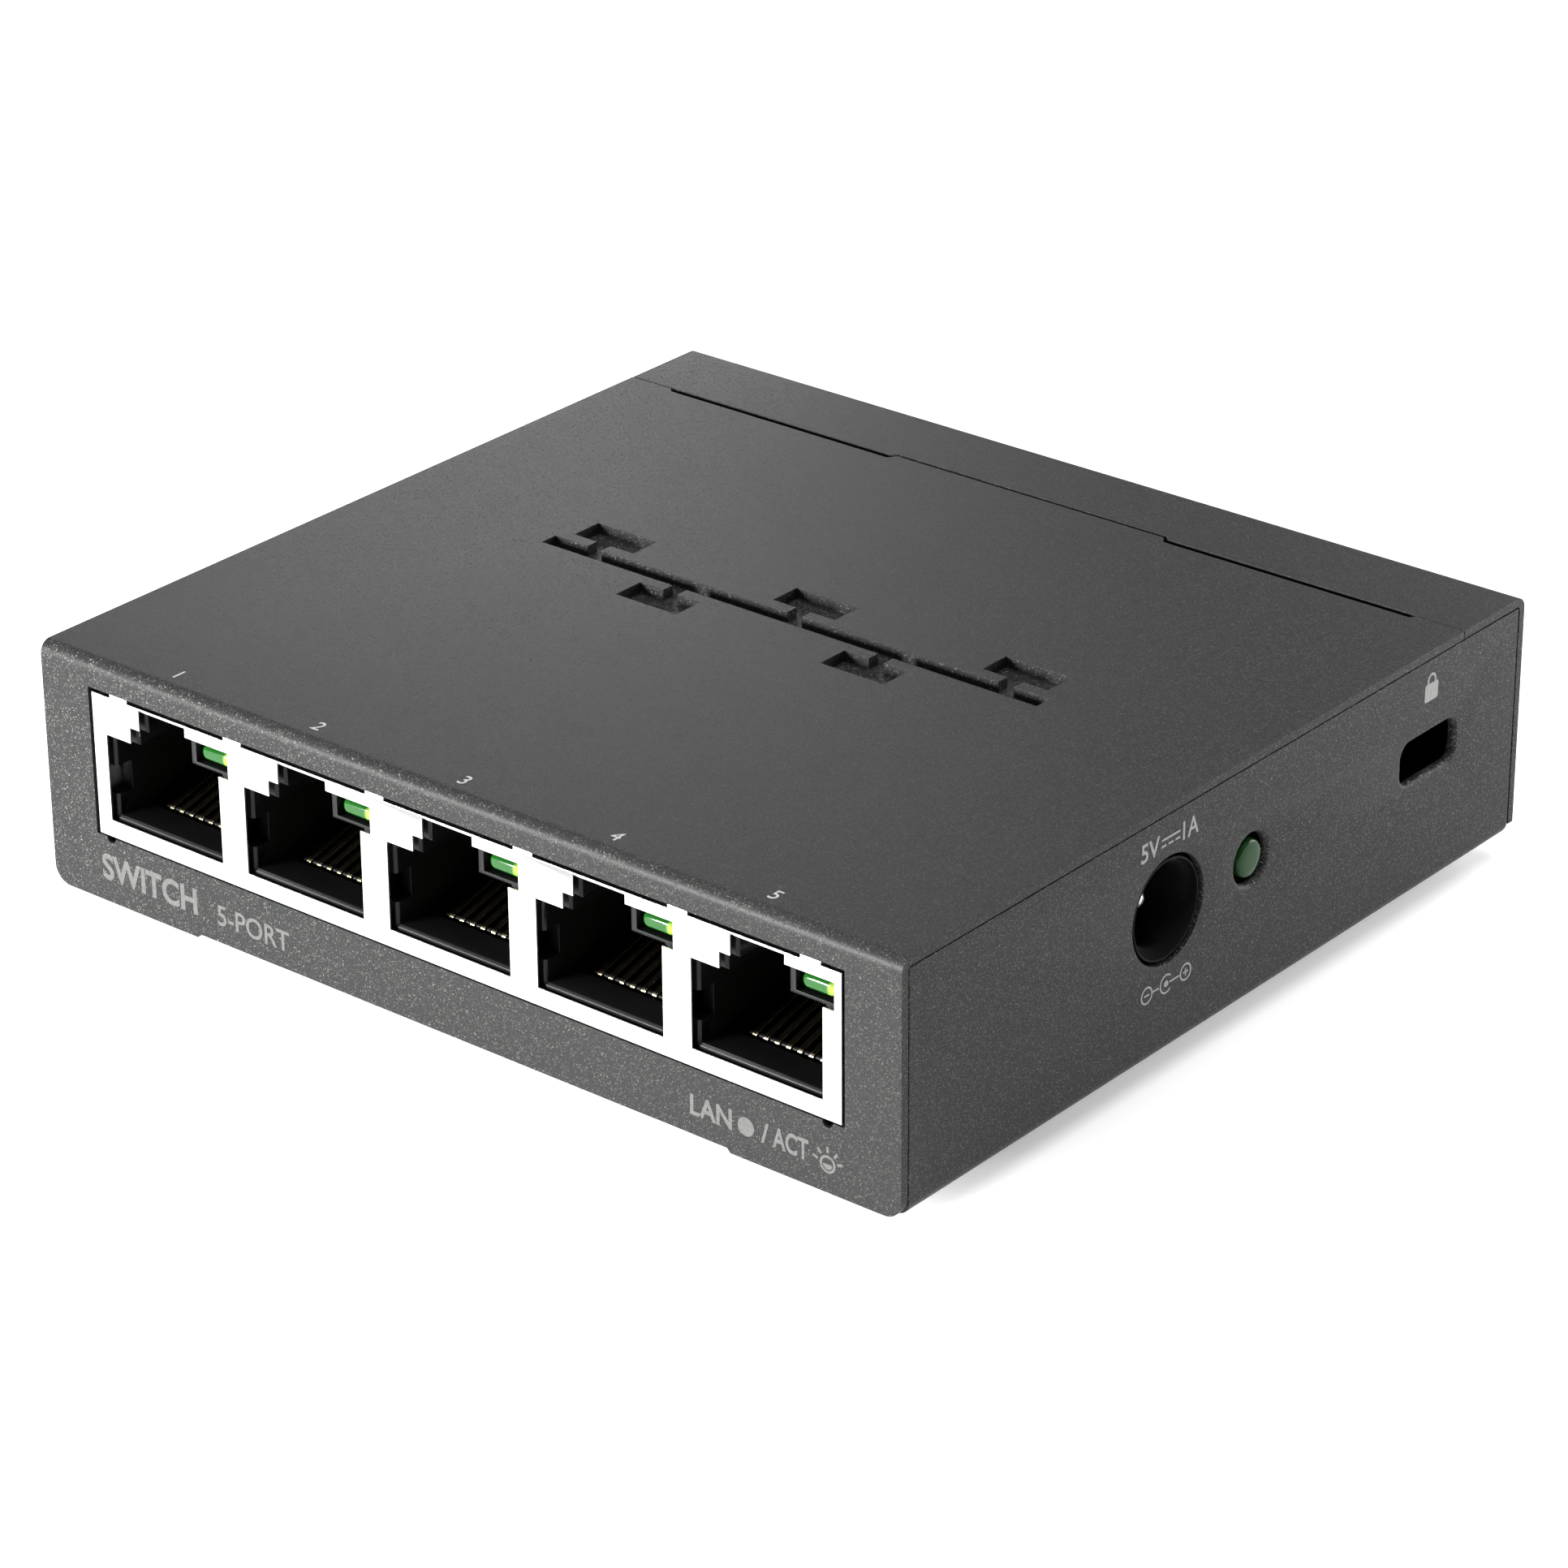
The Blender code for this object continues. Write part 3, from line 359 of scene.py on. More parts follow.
class Nodes:
    """A material's node tree, with short calls to add and join nodes."""

    def __init__(self, name, colour, roughness, metallic=0.0):
        self.material = bpy.data.materials.new(name)
        self.material.use_nodes = True
        self.tree = self.material.node_tree
        self.shader = self.tree.nodes["Principled BSDF"]
        self.shader.inputs["Base Color"].default_value = (*colour, 1.0)
        self.shader.inputs["Roughness"].default_value = roughness
        self.shader.inputs["Metallic"].default_value = metallic
        self.place = self.add("ShaderNodeTexCoord").outputs["Object"]

    def add(self, kind, **values):
        node = self.tree.nodes.new(kind)
        for key, value in values.items():
            setattr(node, key, value)
        return node

    def join(self, source, target):
        self.tree.links.new(source, target)

    def noise(self, size_mm, detail=2.0, roughness=0.5):
        """Noise whose features are about size_mm across."""
        node = self.add("ShaderNodeTexNoise")
        node.inputs["Scale"].default_value = 1.0 / (size_mm * MM)
        node.inputs["Detail"].default_value = detail
        node.inputs["Roughness"].default_value = roughness
        self.join(self.place, node.inputs["Vector"])
        return node.outputs["Fac"]

    def cells(self, size_mm):
        """Voronoi cells about size_mm across."""
        node = self.add("ShaderNodeTexVoronoi")
        node.inputs["Scale"].default_value = 1.0 / (size_mm * MM)
        self.join(self.place, node.inputs["Vector"])
        return node

    def math(self, operation, first, second):
        node = self.add("ShaderNodeMath", operation=operation)
        for socket, value in zip(node.inputs, (first, second)):
            if isinstance(value, (int, float)):
                socket.default_value = value
            else:
                self.join(value, socket)
        return node.outputs[0]

    def ramp(self, value, low, high, from_low=0.0, from_high=1.0):
        """Map a value linearly onto the range from low to high."""
        node = self.add("ShaderNodeMapRange")
        node.inputs["From Min"].default_value = from_low
        node.inputs["From Max"].default_value = from_high
        node.inputs["To Min"].default_value = low
        node.inputs["To Max"].default_value = high
        self.join(value, node.inputs["Value"])
        return node.outputs["Result"]

    def mix(self, factor, first, second):
        """Mix two colours by a factor; a colour is a tuple or a socket."""
        node = self.add("ShaderNodeMix", data_type="RGBA")
        for socket, value in zip((node.inputs["Factor"], node.inputs[6], node.inputs[7]),
                                 (factor, first, second)):
            if isinstance(value, tuple):
                socket.default_value = (*value, 1.0)
            else:
                self.join(value, socket)
        return node.outputs[2]

    def bump(self, height, depth_mm):
        """Normal of a surface with a height texture."""
        node = self.add("ShaderNodeBump")
        node.inputs["Strength"].default_value = 1.0
        node.inputs["Distance"].default_value = depth_mm * MM
        self.join(height, node.inputs["Height"])
        return node.outputs["Normal"]

    def set(self, socket, source):
        """Join a value to one of the shader's sockets."""
        self.join(source, self.shader.inputs[socket])


def powder_coat_material():
    """Matt dark powder coat; its tilted metal flakes glint where a lamp meets them."""
    nodes = Nodes("powder_coat", (0.015, 0.015, 0.015), 0.45)
    nodes.shader.inputs["Specular IOR Level"].default_value = 0.12
    grain = nodes.noise(0.16, 3.0, 0.6)
    cloud = nodes.noise(14.0, 3.0)
    flake = nodes.cells(0.085)
    lot = nodes.add("ShaderNodeSeparateColor")
    nodes.join(flake.outputs["Color"], lot.inputs["Color"])
    shows = nodes.math("GREATER_THAN", lot.outputs["Red"], 0.8)
    clouded = nodes.ramp(cloud, 0.0, 1.0, 0.3, 0.7)
    base = nodes.mix(clouded, (0.0145, 0.0155, 0.0150), (0.0160, 0.0170, 0.0165))
    grainy = nodes.ramp(grain, 0.0, 0.35, 0.35, 0.7)
    grained = nodes.mix(grainy, base, (0.021, 0.022, 0.0215))
    nodes.set("Base Color", nodes.mix(shows, grained, (0.076, 0.0745, 0.071)))
    nodes.set("Metallic", nodes.math("MULTIPLY", shows, 0.85))
    nodes.set("Roughness", nodes.ramp(shows, 0.45, 0.56))
    tilt = nodes.add("ShaderNodeVectorMath", operation="MULTIPLY_ADD")
    nodes.join(flake.outputs["Color"], tilt.inputs[0])
    tilt.inputs[1].default_value = (0.9, 0.9, 0.9)
    tilt.inputs[2].default_value = (-0.45, -0.45, -0.45)
    masked = nodes.add("ShaderNodeVectorMath", operation="SCALE")
    nodes.join(tilt.outputs["Vector"], masked.inputs[0])
    nodes.join(shows, masked.inputs["Scale"])
    tilted = nodes.add("ShaderNodeVectorMath", operation="ADD")
    nodes.join(nodes.bump(grain, 0.012), tilted.inputs[0])
    nodes.join(masked.outputs["Vector"], tilted.inputs[1])
    unit = nodes.add("ShaderNodeVectorMath", operation="NORMALIZE")
    nodes.join(tilted.outputs["Vector"], unit.inputs[0])
    nodes.set("Normal", unit.outputs["Vector"])
    return nodes.material


def nickel_material():
    """Bright nickel plate with the fine grain of rolled sheet."""
    nodes = Nodes("nickel_plate", (0.92, 0.92, 0.90), 0.3, 1.0)
    grain = nodes.noise(0.12, 2.0)
    stain = nodes.noise(5.0, 3.0)
    nodes.set("Base Color", nodes.mix(stain, (0.66, 0.66, 0.655), (0.58, 0.58, 0.57)))
    nodes.set("Roughness", nodes.ramp(grain, 0.26, 0.46))
    nodes.set("Normal", nodes.bump(grain, 0.006))
    return nodes.material


def plastic_material(name, colour, roughness, gloss=0.5):
    """Moulded plastic with a faint spark-eroded texture."""
    nodes = Nodes(name, colour, roughness)
    nodes.shader.inputs["Specular IOR Level"].default_value = gloss
    grain = nodes.noise(0.15, 3.0)
    lighter = tuple(min(channel * 1.5, channel + 0.03) for channel in colour)
    cloud = nodes.ramp(nodes.noise(3.0), 0.0, 1.0, 0.3, 0.7)
    nodes.set("Base Color", nodes.mix(cloud, colour, lighter))
    nodes.set("Roughness", nodes.ramp(grain, roughness - 0.08, roughness + 0.12))
    nodes.set("Normal", nodes.bump(grain, 0.008))
    return nodes.material


def metal_material(name, colour, roughness, grain_mm=0.2):
    """Bare or plated metal with a fine grain and slight stains."""
    nodes = Nodes(name, colour, roughness, 1.0)
    grain = nodes.noise(grain_mm, 2.0)
    darker = tuple(channel * 0.8 for channel in colour)
    stain = nodes.ramp(nodes.noise(2.5, 3.0), 0.0, 1.0, 0.35, 0.75)
    nodes.set("Base Color", nodes.mix(stain, colour, darker))
    nodes.set("Roughness", nodes.ramp(grain, roughness - 0.08, roughness + 0.1))
    nodes.set("Normal", nodes.bump(grain, 0.004))
    return nodes.material


def ink_material(name, dense, thin):
    """Screen print in one grey, slightly thin where the coat's grain shows through."""
    nodes = Nodes(name, dense, 0.6)
    nodes.shader.inputs["Specular IOR Level"].default_value = 0.2
    worn = nodes.noise(0.2, 2.0)
    nodes.set("Base Color", nodes.mix(nodes.ramp(worn, 0.0, 1.0, 0.4, 0.8), dense, thin))
    nodes.set("Normal", nodes.bump(worn, 0.01))
    return nodes.material


def lens_material(name, dark, bright, glow_at, glow_mm, strength, coat):
    """Tinted clear lens that glows round one point: the chip of a lit light, or a painted glow on a
    light that is off.
    """
    nodes = Nodes(name, dark, 0.12)
    nodes.shader.inputs["Specular IOR Level"].default_value = 0.5 * coat
    distance = nodes.add("ShaderNodeVectorMath", operation="DISTANCE")
    distance.inputs[1].default_value = tuple(value * MM for value in glow_at)
    nodes.join(nodes.place, distance.inputs[0])
    near = nodes.ramp(distance.outputs["Value"], 1.0, 0.0, 0.0, glow_mm * MM)
    colour = nodes.mix(near, dark, bright)
    nodes.set("Base Color", colour)
    nodes.set("Emission Color", colour)
    nodes.shader.inputs["Emission Strength"].default_value = strength
    nodes.shader.inputs["Coat Weight"].default_value = coat
    nodes.shader.inputs["Coat Roughness"].default_value = 0.04
    nodes.set("Roughness", nodes.ramp(nodes.noise(0.6), 0.08, 0.2))
    return nodes.material


def board_material():
    """Green solder mask over copper tracks."""
    nodes = Nodes("board", (0.01, 0.09, 0.045), 0.4)
    tracks = nodes.add("ShaderNodeTexBrick")
    tracks.inputs["Scale"].default_value = 1.0 / (9.0 * MM)
    tracks.inputs["Mortar Size"].default_value = 0.035
    tracks.inputs["Color1"].default_value = (0.0, 0.0, 0.0, 1.0)
    tracks.inputs["Color2"].default_value = (0.0, 0.0, 0.0, 1.0)
    tracks.inputs["Mortar"].default_value = (1.0, 1.0, 1.0, 1.0)
    nodes.join(nodes.place, tracks.inputs["Vector"])
    track = tracks.outputs["Color"]
    nodes.set("Base Color", nodes.mix(track, (0.008, 0.075, 0.036), (0.02, 0.16, 0.07)))
    nodes.set("Normal", nodes.bump(track, 0.03))
    nodes.set("Roughness", nodes.ramp(nodes.noise(1.5), 0.3, 0.45))
    return nodes.material


MATERIALS = {
    "powder_coat": powder_coat_material(),
    "nickel_plate": nickel_material(),
    "black_plastic": plastic_material("black_plastic", (0.0022, 0.0022, 0.0025), 0.4, 0.25),
    "chip_black": plastic_material("chip_black", (0.018, 0.018, 0.019), 0.5),
    "rubber": plastic_material("rubber", (0.015, 0.015, 0.015), 0.8),
    "thermal_pad": plastic_material("thermal_pad", (0.28, 0.31, 0.36), 0.75),
    "label": plastic_material("label", (0.72, 0.72, 0.70), 0.5),
    "gold_plate": metal_material("gold_plate", (0.72, 0.62, 0.40), 0.17),
    "zinc_steel": metal_material("zinc_steel", (0.68, 0.68, 0.66), 0.32),
    "aluminium": metal_material("aluminium", (0.60, 0.61, 0.63), 0.38),
    "board": board_material(),
    "green_lens": lens_material("green_lens", (0.006, 0.06, 0.006), (0.45, 0.75, 0.06),
                                glow_at=(1.5, -0.4, 0.05), glow_mm=0.8, strength=0.35, coat=0.45),
}
# The power light is off: its dim glow, brightest round the middle of its dome, is a painted glow
POWER_LENS_PAINTED_GLOW = lens_material("power_lens", (0.006, 0.03, 0.007), (0.016, 0.07, 0.017),
                           glow_at=(0.0, 0.0, 0.0), glow_mm=2.2, strength=0.1, coat=0.15)
SOCKET_BLACK = plastic_material("socket_black", (0.0015, 0.0015, 0.0016), 0.6, 0.08)
# One print ink in three copies, palest on the top, darker on the right side and darkest on the
# front: painted light and shade for how the lamps fall on each face
TOP_INK_PAINTED_LIGHT = ink_material("top_ink_painted_light", (0.42, 0.42, 0.415), (0.28, 0.28, 0.275))
RIGHT_INK_PAINTED_SHADE = ink_material("right_ink_painted_shade", (0.29, 0.29, 0.285), (0.19, 0.19, 0.185))
FRONT_INK_PAINTED_SHADE = ink_material("front_ink_painted_shade", (0.088, 0.088, 0.086), (0.06, 0.06, 0.059))

# ---------------------------------------------------------------- case


def seam_outline(edges):
    """Outline over the rear part of the top, up to one edge of the seam."""
    ends, vents, tab = edges
    half = SEAM_STEP / 2
    right_half = [(SEAM_TAB_X - half, tab), (SEAM_TAB_X + half, vents), (SEAM_END_X - half, vents),
                  (SEAM_END_X + half, ends), (RIGHT + OVERSHOOT, ends)]
    left_half = [(-a, b) for a, b in reversed(right_half)]
    far = REAR + OVERSHOOT
    return left_half + right_half + [(RIGHT + OVERSHOOT, far), (LEFT - OVERSHOOT, far)]


def symbol_outline():
    """Outline of the pressed symbol: a line with boxes on stubs, behind and before it in turn."""
    half_line = SYMBOL_LINE / 2
    half_stub = SYMBOL_STUB / 2
    half_box = SYMBOL_BOX_WIDTH / 2
    left_half = [(-half_stub, half_line), (-half_stub, SYMBOL_BOX_NEAR),
                 (-half_box, SYMBOL_BOX_NEAR), (-half_box, SYMBOL_BOX_FAR)]
    branch = left_half + [(-a, b) for a, b in reversed(left_half)]
    rear_side = []
    front_side = []
    for index in range(SYMBOL_BOXES):
        middle = (index - (SYMBOL_BOXES - 1) / 2) * SYMBOL_PITCH
        if index % 2 == 0:
            rear_side += shifted(branch, middle)
        else:
            front_side = [(middle + a, -b) for a, b in reversed(branch)] + front_side
    end = SYMBOL_LENGTH / 2
    return ([(-end, -half_line), (-end, half_line)] + rear_side
            + [(end, half_line), (end, -half_line)] + front_side)


def build_front_top_cover():
    """Front face and top in one bent sheet, with the port window and the pressed symbol."""
    outer = arc((FRONT + BEND, ROOF_Z - BEND), BEND, 180.0, 90.0, 10)
    inner = arc((FRONT + BEND, ROOF_Z - BEND), BEND - SHEET, 90.0, 180.0, 6)
    far = SEAM_FRONT[2] + OVERSHOOT
    profile = ([(FRONT, BASE_Z)] + outer + [(far, ROOF_Z), (far, CEILING_Z)] + inner
               + [(INNER_FRONT, BASE_Z)])
    bm = bmesh.new()
    add_prism(bm, profile, "X", LEFT, RIGHT)
    cover = bare_object("front_top_sheet", bm)

    joins = bmesh.new()
    add_box(joins, (-FLANGE_X, INNER_FRONT - SHEET / 2, FLANGE_Z),
            (FLANGE_X, FRONT + FLANGE_DEPTH, FLANGE_Z + SHEET))
    backing = rounded_rectangle((0.0, 0.0), SYMBOL_LENGTH + 2 * SYMBOL_MARGIN,
                                2 * (SYMBOL_BOX_FAR + SYMBOL_MARGIN), SYMBOL_MARGIN)
    add_prism(joins, backing, "Z", ROOF_Z - SYMBOL_DEPTH - SYMBOL_BACKING, ROOF_Z - SHEET / 2)
    carve(cover, "UNION", joins)

    cuts = bmesh.new()
    window = [(-WINDOW_X, WINDOW_HIGH), (-WINDOW_X, WINDOW_LOW)]
    window += arc((-RELIEF_X, WINDOW_LOW), RELIEF_RADIUS, 180.0, 360.0, 10)
    window += arc((RELIEF_X, WINDOW_LOW), RELIEF_RADIUS, 180.0, 360.0, 10)
    window += [(WINDOW_X, WINDOW_LOW), (WINDOW_X, WINDOW_HIGH)]
    add_prism(cuts, window, "Y", FRONT - OVERSHOOT, INNER_FRONT + OVERSHOOT)
    right_end = [(RAISED_EDGE_X, BASE_Z + RAISED_EDGE),
                 (RAISED_EDGE_X + RAISED_EDGE, BASE_Z - 0.01),
                 (RAISED_EDGE_X, BASE_Z - OVERSHOOT)]
    raised = right_end + [(-a, b) for a, b in reversed(right_end)]
    add_prism(cuts, raised, "Y", FRONT - OVERSHOOT, INNER_FRONT + OVERSHOOT)
    for side in (-1, 1):
        edge = side * (RIGHT - CORNER_RADIUS)
        outside = side * (RIGHT + OVERSHOOT)
        corner = arc((edge, BASE_Z + CORNER_RADIUS), CORNER_RADIUS, 270.0, 270.0 + side * 90.0, 12)
        corner += [(outside, BASE_Z + CORNER_RADIUS), (outside, BASE_Z - OVERSHOOT),
                   (edge, BASE_Z - OVERSHOOT)]
        add_prism(cuts, corner, "Y", FRONT - OVERSHOOT, INNER_FRONT + OVERSHOOT)
    add_prism(cuts, seam_outline(SEAM_FRONT), "Z", CEILING_Z - 0.5, ROOF_Z + OVERSHOOT)
    add_prism(cuts, symbol_outline(), "Z", ROOF_Z - SYMBOL_DEPTH, ROOF_Z + OVERSHOOT)
    for x, y in CASE_SCREWS[:2]:
        add_prism(cuts, circle((x, y), SCREW_HOLE, 24), "Z", FLOOR_Z, FLOOR_Z + 2.0)
    carve(cover, "DIFFERENCE", cuts)
    round_edges(cover, EDGE_ROUND)
    finish_piece(cover, MATERIALS["powder_coat"], replaces=("front_top_cover",))


def build_rear_cover():
    """Rear wall and the strip of the top behind the seam, with its tongue under the front sheet."""
    outer = arc((REAR - BEND, ROOF_Z - BEND), BEND, 0.0, 90.0, 10)
    inner = arc((REAR - BEND, ROOF_Z - BEND), BEND - SHEET, 90.0, 0.0, 6)
    near = SEAM_REAR[0] - OVERSHOOT
    profile = ([(REAR, REAR_WALL_Z)] + outer + [(near, ROOF_Z), (near, CEILING_Z)] + inner
               + [(INNER_REAR, REAR_WALL_Z)])
    bm = bmesh.new()
    add_prism(bm, profile, "X", LEFT, RIGHT)
    cover = bare_object("rear_sheet", bm)
    keep = bmesh.new()
    add_prism(keep, seam_outline(SEAM_REAR), "Z", 0.0, ROOF_Z + OVERSHOOT)
    carve(cover, "INTERSECT", keep)
    under = bmesh.new()
    edge = SEAM_REAR[1]
    slope = [(edge - OVERSHOOT, ROOF_Z - SEAM_LIP), (edge, ROOF_Z - SEAM_LIP),
             (edge + SEAM_UNDERCUT, CEILING_Z - 0.01), (edge - OVERSHOOT, CEILING_Z - 0.01)]
    add_prism(under, slope, "X", -SEAM_END_X + SEAM_STEP, SEAM_END_X - SEAM_STEP)
    carve(cover, "DIFFERENCE", under)
    joins = bmesh.new()
    tongue_high = CEILING_Z - TONGUE_DROP
    tongue_low = tongue_high - SHEET
    edge = SEAM_REAR[2]
    near = edge - TONGUE_REACH
    far = edge + 2.5
    joggle = [(near, tongue_low), (far, tongue_low), (far, CEILING_Z + 0.3),
              (edge + 0.8, CEILING_Z + 0.3), (edge + 0.3, tongue_high), (near, tongue_high)]
    add_prism(joins, joggle, "X", -SEAM_END_X, SEAM_END_X)
    add_box(joins, (-FLANGE_X, REAR - FLANGE_DEPTH, FLANGE_Z),
            (FLANGE_X, INNER_REAR + SHEET / 2, FLANGE_Z + SHEET))
    carve(cover, "UNION", joins)
    cuts = bmesh.new()
    for x, y in CASE_SCREWS[2:]:
        add_prism(cuts, circle((x, y), SCREW_HOLE, 24), "Z", FLOOR_Z, FLOOR_Z + 2.0)
    carve(cover, "DIFFERENCE", cuts)
    round_edges(cover, EDGE_ROUND)
    finish_piece(cover, MATERIALS["powder_coat"], replaces=("rear_cover",))


def keyhole_outline(x, y):
    """Outline of a keyhole: a round hole that takes a screw's head, and a slot for its neck."""
    half_opening = math.degrees(math.asin(KEYHOLE_SLOT / KEYHOLE_HEAD))
    head = arc((x, y), KEYHOLE_HEAD, 90.0 + half_opening, 450.0 - half_opening, 32)
    return head + arc((x, y + KEYHOLE_TRAVEL), KEYHOLE_SLOT, 0.0, 180.0, 12)


def add_rimmed_hole(bm, outline, rim, inside, face, outside):
    """Cutter along X for a hole with a rolled edge at the face; outline takes how far it grows."""
    levels = [(inside, 0.0)]
    for step in range(7):
        angle = math.radians(15.0 * step)
        levels.append((face - rim + rim * math.sin(angle), rim - rim * math.cos(angle)))
    levels.append((outside, rim))
    add_skin(bm, [[(x, a, b) for a, b in outline(grow)] for x, grow in levels])


def light_hole(grow):
    """Outline of the power light's hole, grown outwards."""
    return circle(LIGHT, LIGHT_HOLE + grow, 64)


def socket_hole(grow):
    """Outline of the power socket's hole, grown outwards."""
    return circle(SOCKET, SOCKET_HOLE + grow, 96)


def lock_slot(grow):
    """Outline of the lock slot, grown outwards."""
    length, height, radius = LOCK_SIZE
    return rounded_rectangle(LOCK, length + 2 * grow, height + 2 * grow, radius + grow, 10)


def build_base_chassis():
    """Floor and both sides in one bent sheet, with the holes of the right side rolled soft."""
    side_high = CEILING_Z - SEAM
    bend = BEND + 0.1
    outer_right = arc((RIGHT - bend, BASE_Z + bend), bend, 270.0, 360.0, 10)
    inner_right = arc((RIGHT - bend, BASE_Z + bend), bend - SHEET, 360.0, 270.0, 6)
    right_side = outer_right + [(RIGHT, side_high), (INNER_RIGHT, side_high)] + inner_right
    left_side = [(-a, b) for a, b in reversed(right_side)]
    bm = bmesh.new()
    add_prism(bm, right_side + left_side, "Y", INNER_FRONT + SEAM, INNER_REAR - SEAM)
    chassis = bare_object("base_sheet", bm)

    cuts = bmesh.new()
    for outline, rim in ((socket_hole, SOCKET_RIM), (light_hole, RIM), (lock_slot, RIM)):
        add_rimmed_hole(cuts, outline, rim, INNER_RIGHT - OVERSHOOT, RIGHT, RIGHT + OVERSHOOT)
    below = BASE_Z - OVERSHOOT
    above = FLOOR_Z + OVERSHOOT
    for x in KEYHOLES:
        add_prism(cuts, keyhole_outline(x, KEYHOLE_Y), "Z", below, above)
    for index in range(VENT_COUNT):
        x = (index - (VENT_COUNT - 1) / 2) * VENT_PITCH
        vent = rounded_rectangle((x, VENT_ROW_Y), *VENT_SIZE, VENT_SIZE[0] / 2 - 0.01)
        add_prism(cuts, vent, "Z", below, above)
    for x, y in CASE_SCREWS:
        add_prism(cuts, circle((x, y), SCREW_HOLE, 24), "Z", below, above)
    carve(chassis, "DIFFERENCE", cuts)
    round_edges(chassis, EDGE_ROUND)
    finish_piece(chassis, MATERIALS["powder_coat"], replaces=("base_chassis",))


# ---------------------------------------------------------------- ports


def port_left(index):
    """X of the left edge of a port's opening."""
    return PORT_ROW_X + (index - (PORT_COUNT - 1) / 2) * PORT_PITCH - PORT_WIDTH / 2


def build_shield():
    """Nickel-plated box round the ports: a front plate, the box behind it, and its spring tabs."""
    low, high = node_box("jack_shield")
    plate_back = low.y + SHIELD_PLATE
    plate_high = high.z - SHIELD_TOP_DROP
    bm = bmesh.new()
    add_box(bm, low, (high.x, plate_back, plate_high))
    shield = bare_object("port_shield", bm)
    box = bmesh.new()
    inset = SHIELD_INSET
    add_box(box, (low.x + inset, plate_back - OVERLAP, low.z),
            (high.x - inset, high.y, high.z - inset))
    carve(shield, "UNION", box)
    hollow = bmesh.new()
    inset += SHIELD_SHEET
    add_box(hollow, (low.x + inset, plate_back, low.z - OVERSHOOT),
            (high.x - inset, high.y - SHIELD_SHEET, high.z - inset))
    carve(shield, "DIFFERENCE", hollow)
    windows = bmesh.new()
    for index in range(PORT_COUNT):
        outline = shifted(OPENING, port_left(index))
        add_prism(windows, outline, "Y", low.y - OVERSHOOT, plate_back + 0.1)
    carve(shield, "DIFFERENCE", windows)
    tabs = bmesh.new()
    for x in TAB_PLACES:
        tab = [(low.y, plate_high - 0.1), (low.y + 0.02, high.z + 0.16),
               (low.y + 0.2, high.z + 0.2), (low.y + 1.8, high.z - 0.4),
               (low.y + SHIELD_PLATE, high.z - 0.4)]
        add_prism(tabs, tab, "X", x - TAB_WIDTH / 2, x + TAB_WIDTH / 2)
    carve(shield, "UNION", tabs)
    round_edges(shield, 0.03)
    finish_piece(shield, MATERIALS["nickel_plate"], replaces=("jack_shield",))


def widened(outline, amount):
    """Move every side of a square-cornered outline, given anticlockwise, outwards."""
    points = []
    for index, point in enumerate(outline):
        before = Vector(point) - Vector(outline[index - 1])
        after = Vector(outline[(index + 1) % len(outline)]) - Vector(point)
        out = Vector((before.y, -before.x)).normalized() + Vector((after.y, -after.x)).normalized()
        points.append(tuple(Vector(point) + out * amount))
    return points


def copy_node(node, name):
    """Piece with the mesh of a CAD node, its doubled points and flat seams removed."""
    bm = bmesh.new()
    bm.from_mesh(frame["nodes"][node].data)
    bmesh.ops.remove_doubles(bm, verts=bm.verts, dist=1e-6)
    bmesh.ops.dissolve_limit(bm, angle_limit=math.radians(0.5), verts=bm.verts, edges=bm.edges)
    bmesh.ops.transform(bm, matrix=Matrix.Scale(1 / MM, 4), verts=bm.verts)
    return bare_object(name, bm)


def build_port_housings():
    """Black insulating bodies of the ports, with a lead-in round each plug opening."""
    for index in range(PORT_COUNT):
        node = f"port_housing_{index + 1}"
        front = node_box(node)[0].y
        housing = copy_node(node, f"port_body_{index + 1}")
        lead_in = bmesh.new()
        cavity = shifted(CAVITY, port_left(index))
        levels = ((front - OVERLAP, HOUSING_LEAD_IN + OVERLAP),
                  (front + HOUSING_LEAD_IN + OVERLAP, -OVERLAP))
        add_skin(lead_in, [[(a, y, b) for a, b in widened(cavity, grow)] for y, grow in levels])
        carve(housing, "DIFFERENCE", lead_in)
        round_edges(housing, 0.03)
        finish_piece(housing, MATERIALS["black_plastic"], replaces=(node,))


def build_socket_body():
    """Moulded body of the power socket, with a flared and softly rounded mouth."""
    housing = copy_node("power_jack_housing", "socket_body")
    front = node_box("power_jack_housing")[1].x
    mouth = bmesh.new()
    add_turned(mouth, SOCKET_MOUTH, (front, *SOCKET), "X", 64)
    carve(housing, "DIFFERENCE", mouth)
    round_edges(housing, 0.15, 3, 40.0)
    finish_piece(housing, SOCKET_BLACK, replaces=("power_jack_housing",))


def wire_outline():
    """Side view of one contact: a strip that bends up round the root and slopes to its tip."""
    rise = math.degrees(math.atan2(WIRE_TIP[1] - WIRE_ROOT[1], WIRE_TIP[0] - WIRE_ROOT[0]))
    last = 90.0 + rise
    outer = arc(WIRE_ROOT, WIRE_BEND, WIRE_START, last, 14)
    inner = arc(WIRE_ROOT, WIRE_BEND - WIRE_THICKNESS, last, WIRE_START, 10)
    over = Vector((math.cos(math.radians(last)), math.sin(math.radians(last)))) * WIRE_BEND
    under = over * (1 - WIRE_THICKNESS / WIRE_BEND)
    return outer + [tuple(Vector(WIRE_TIP) + over), tuple(Vector(WIRE_TIP) + under)] + inner


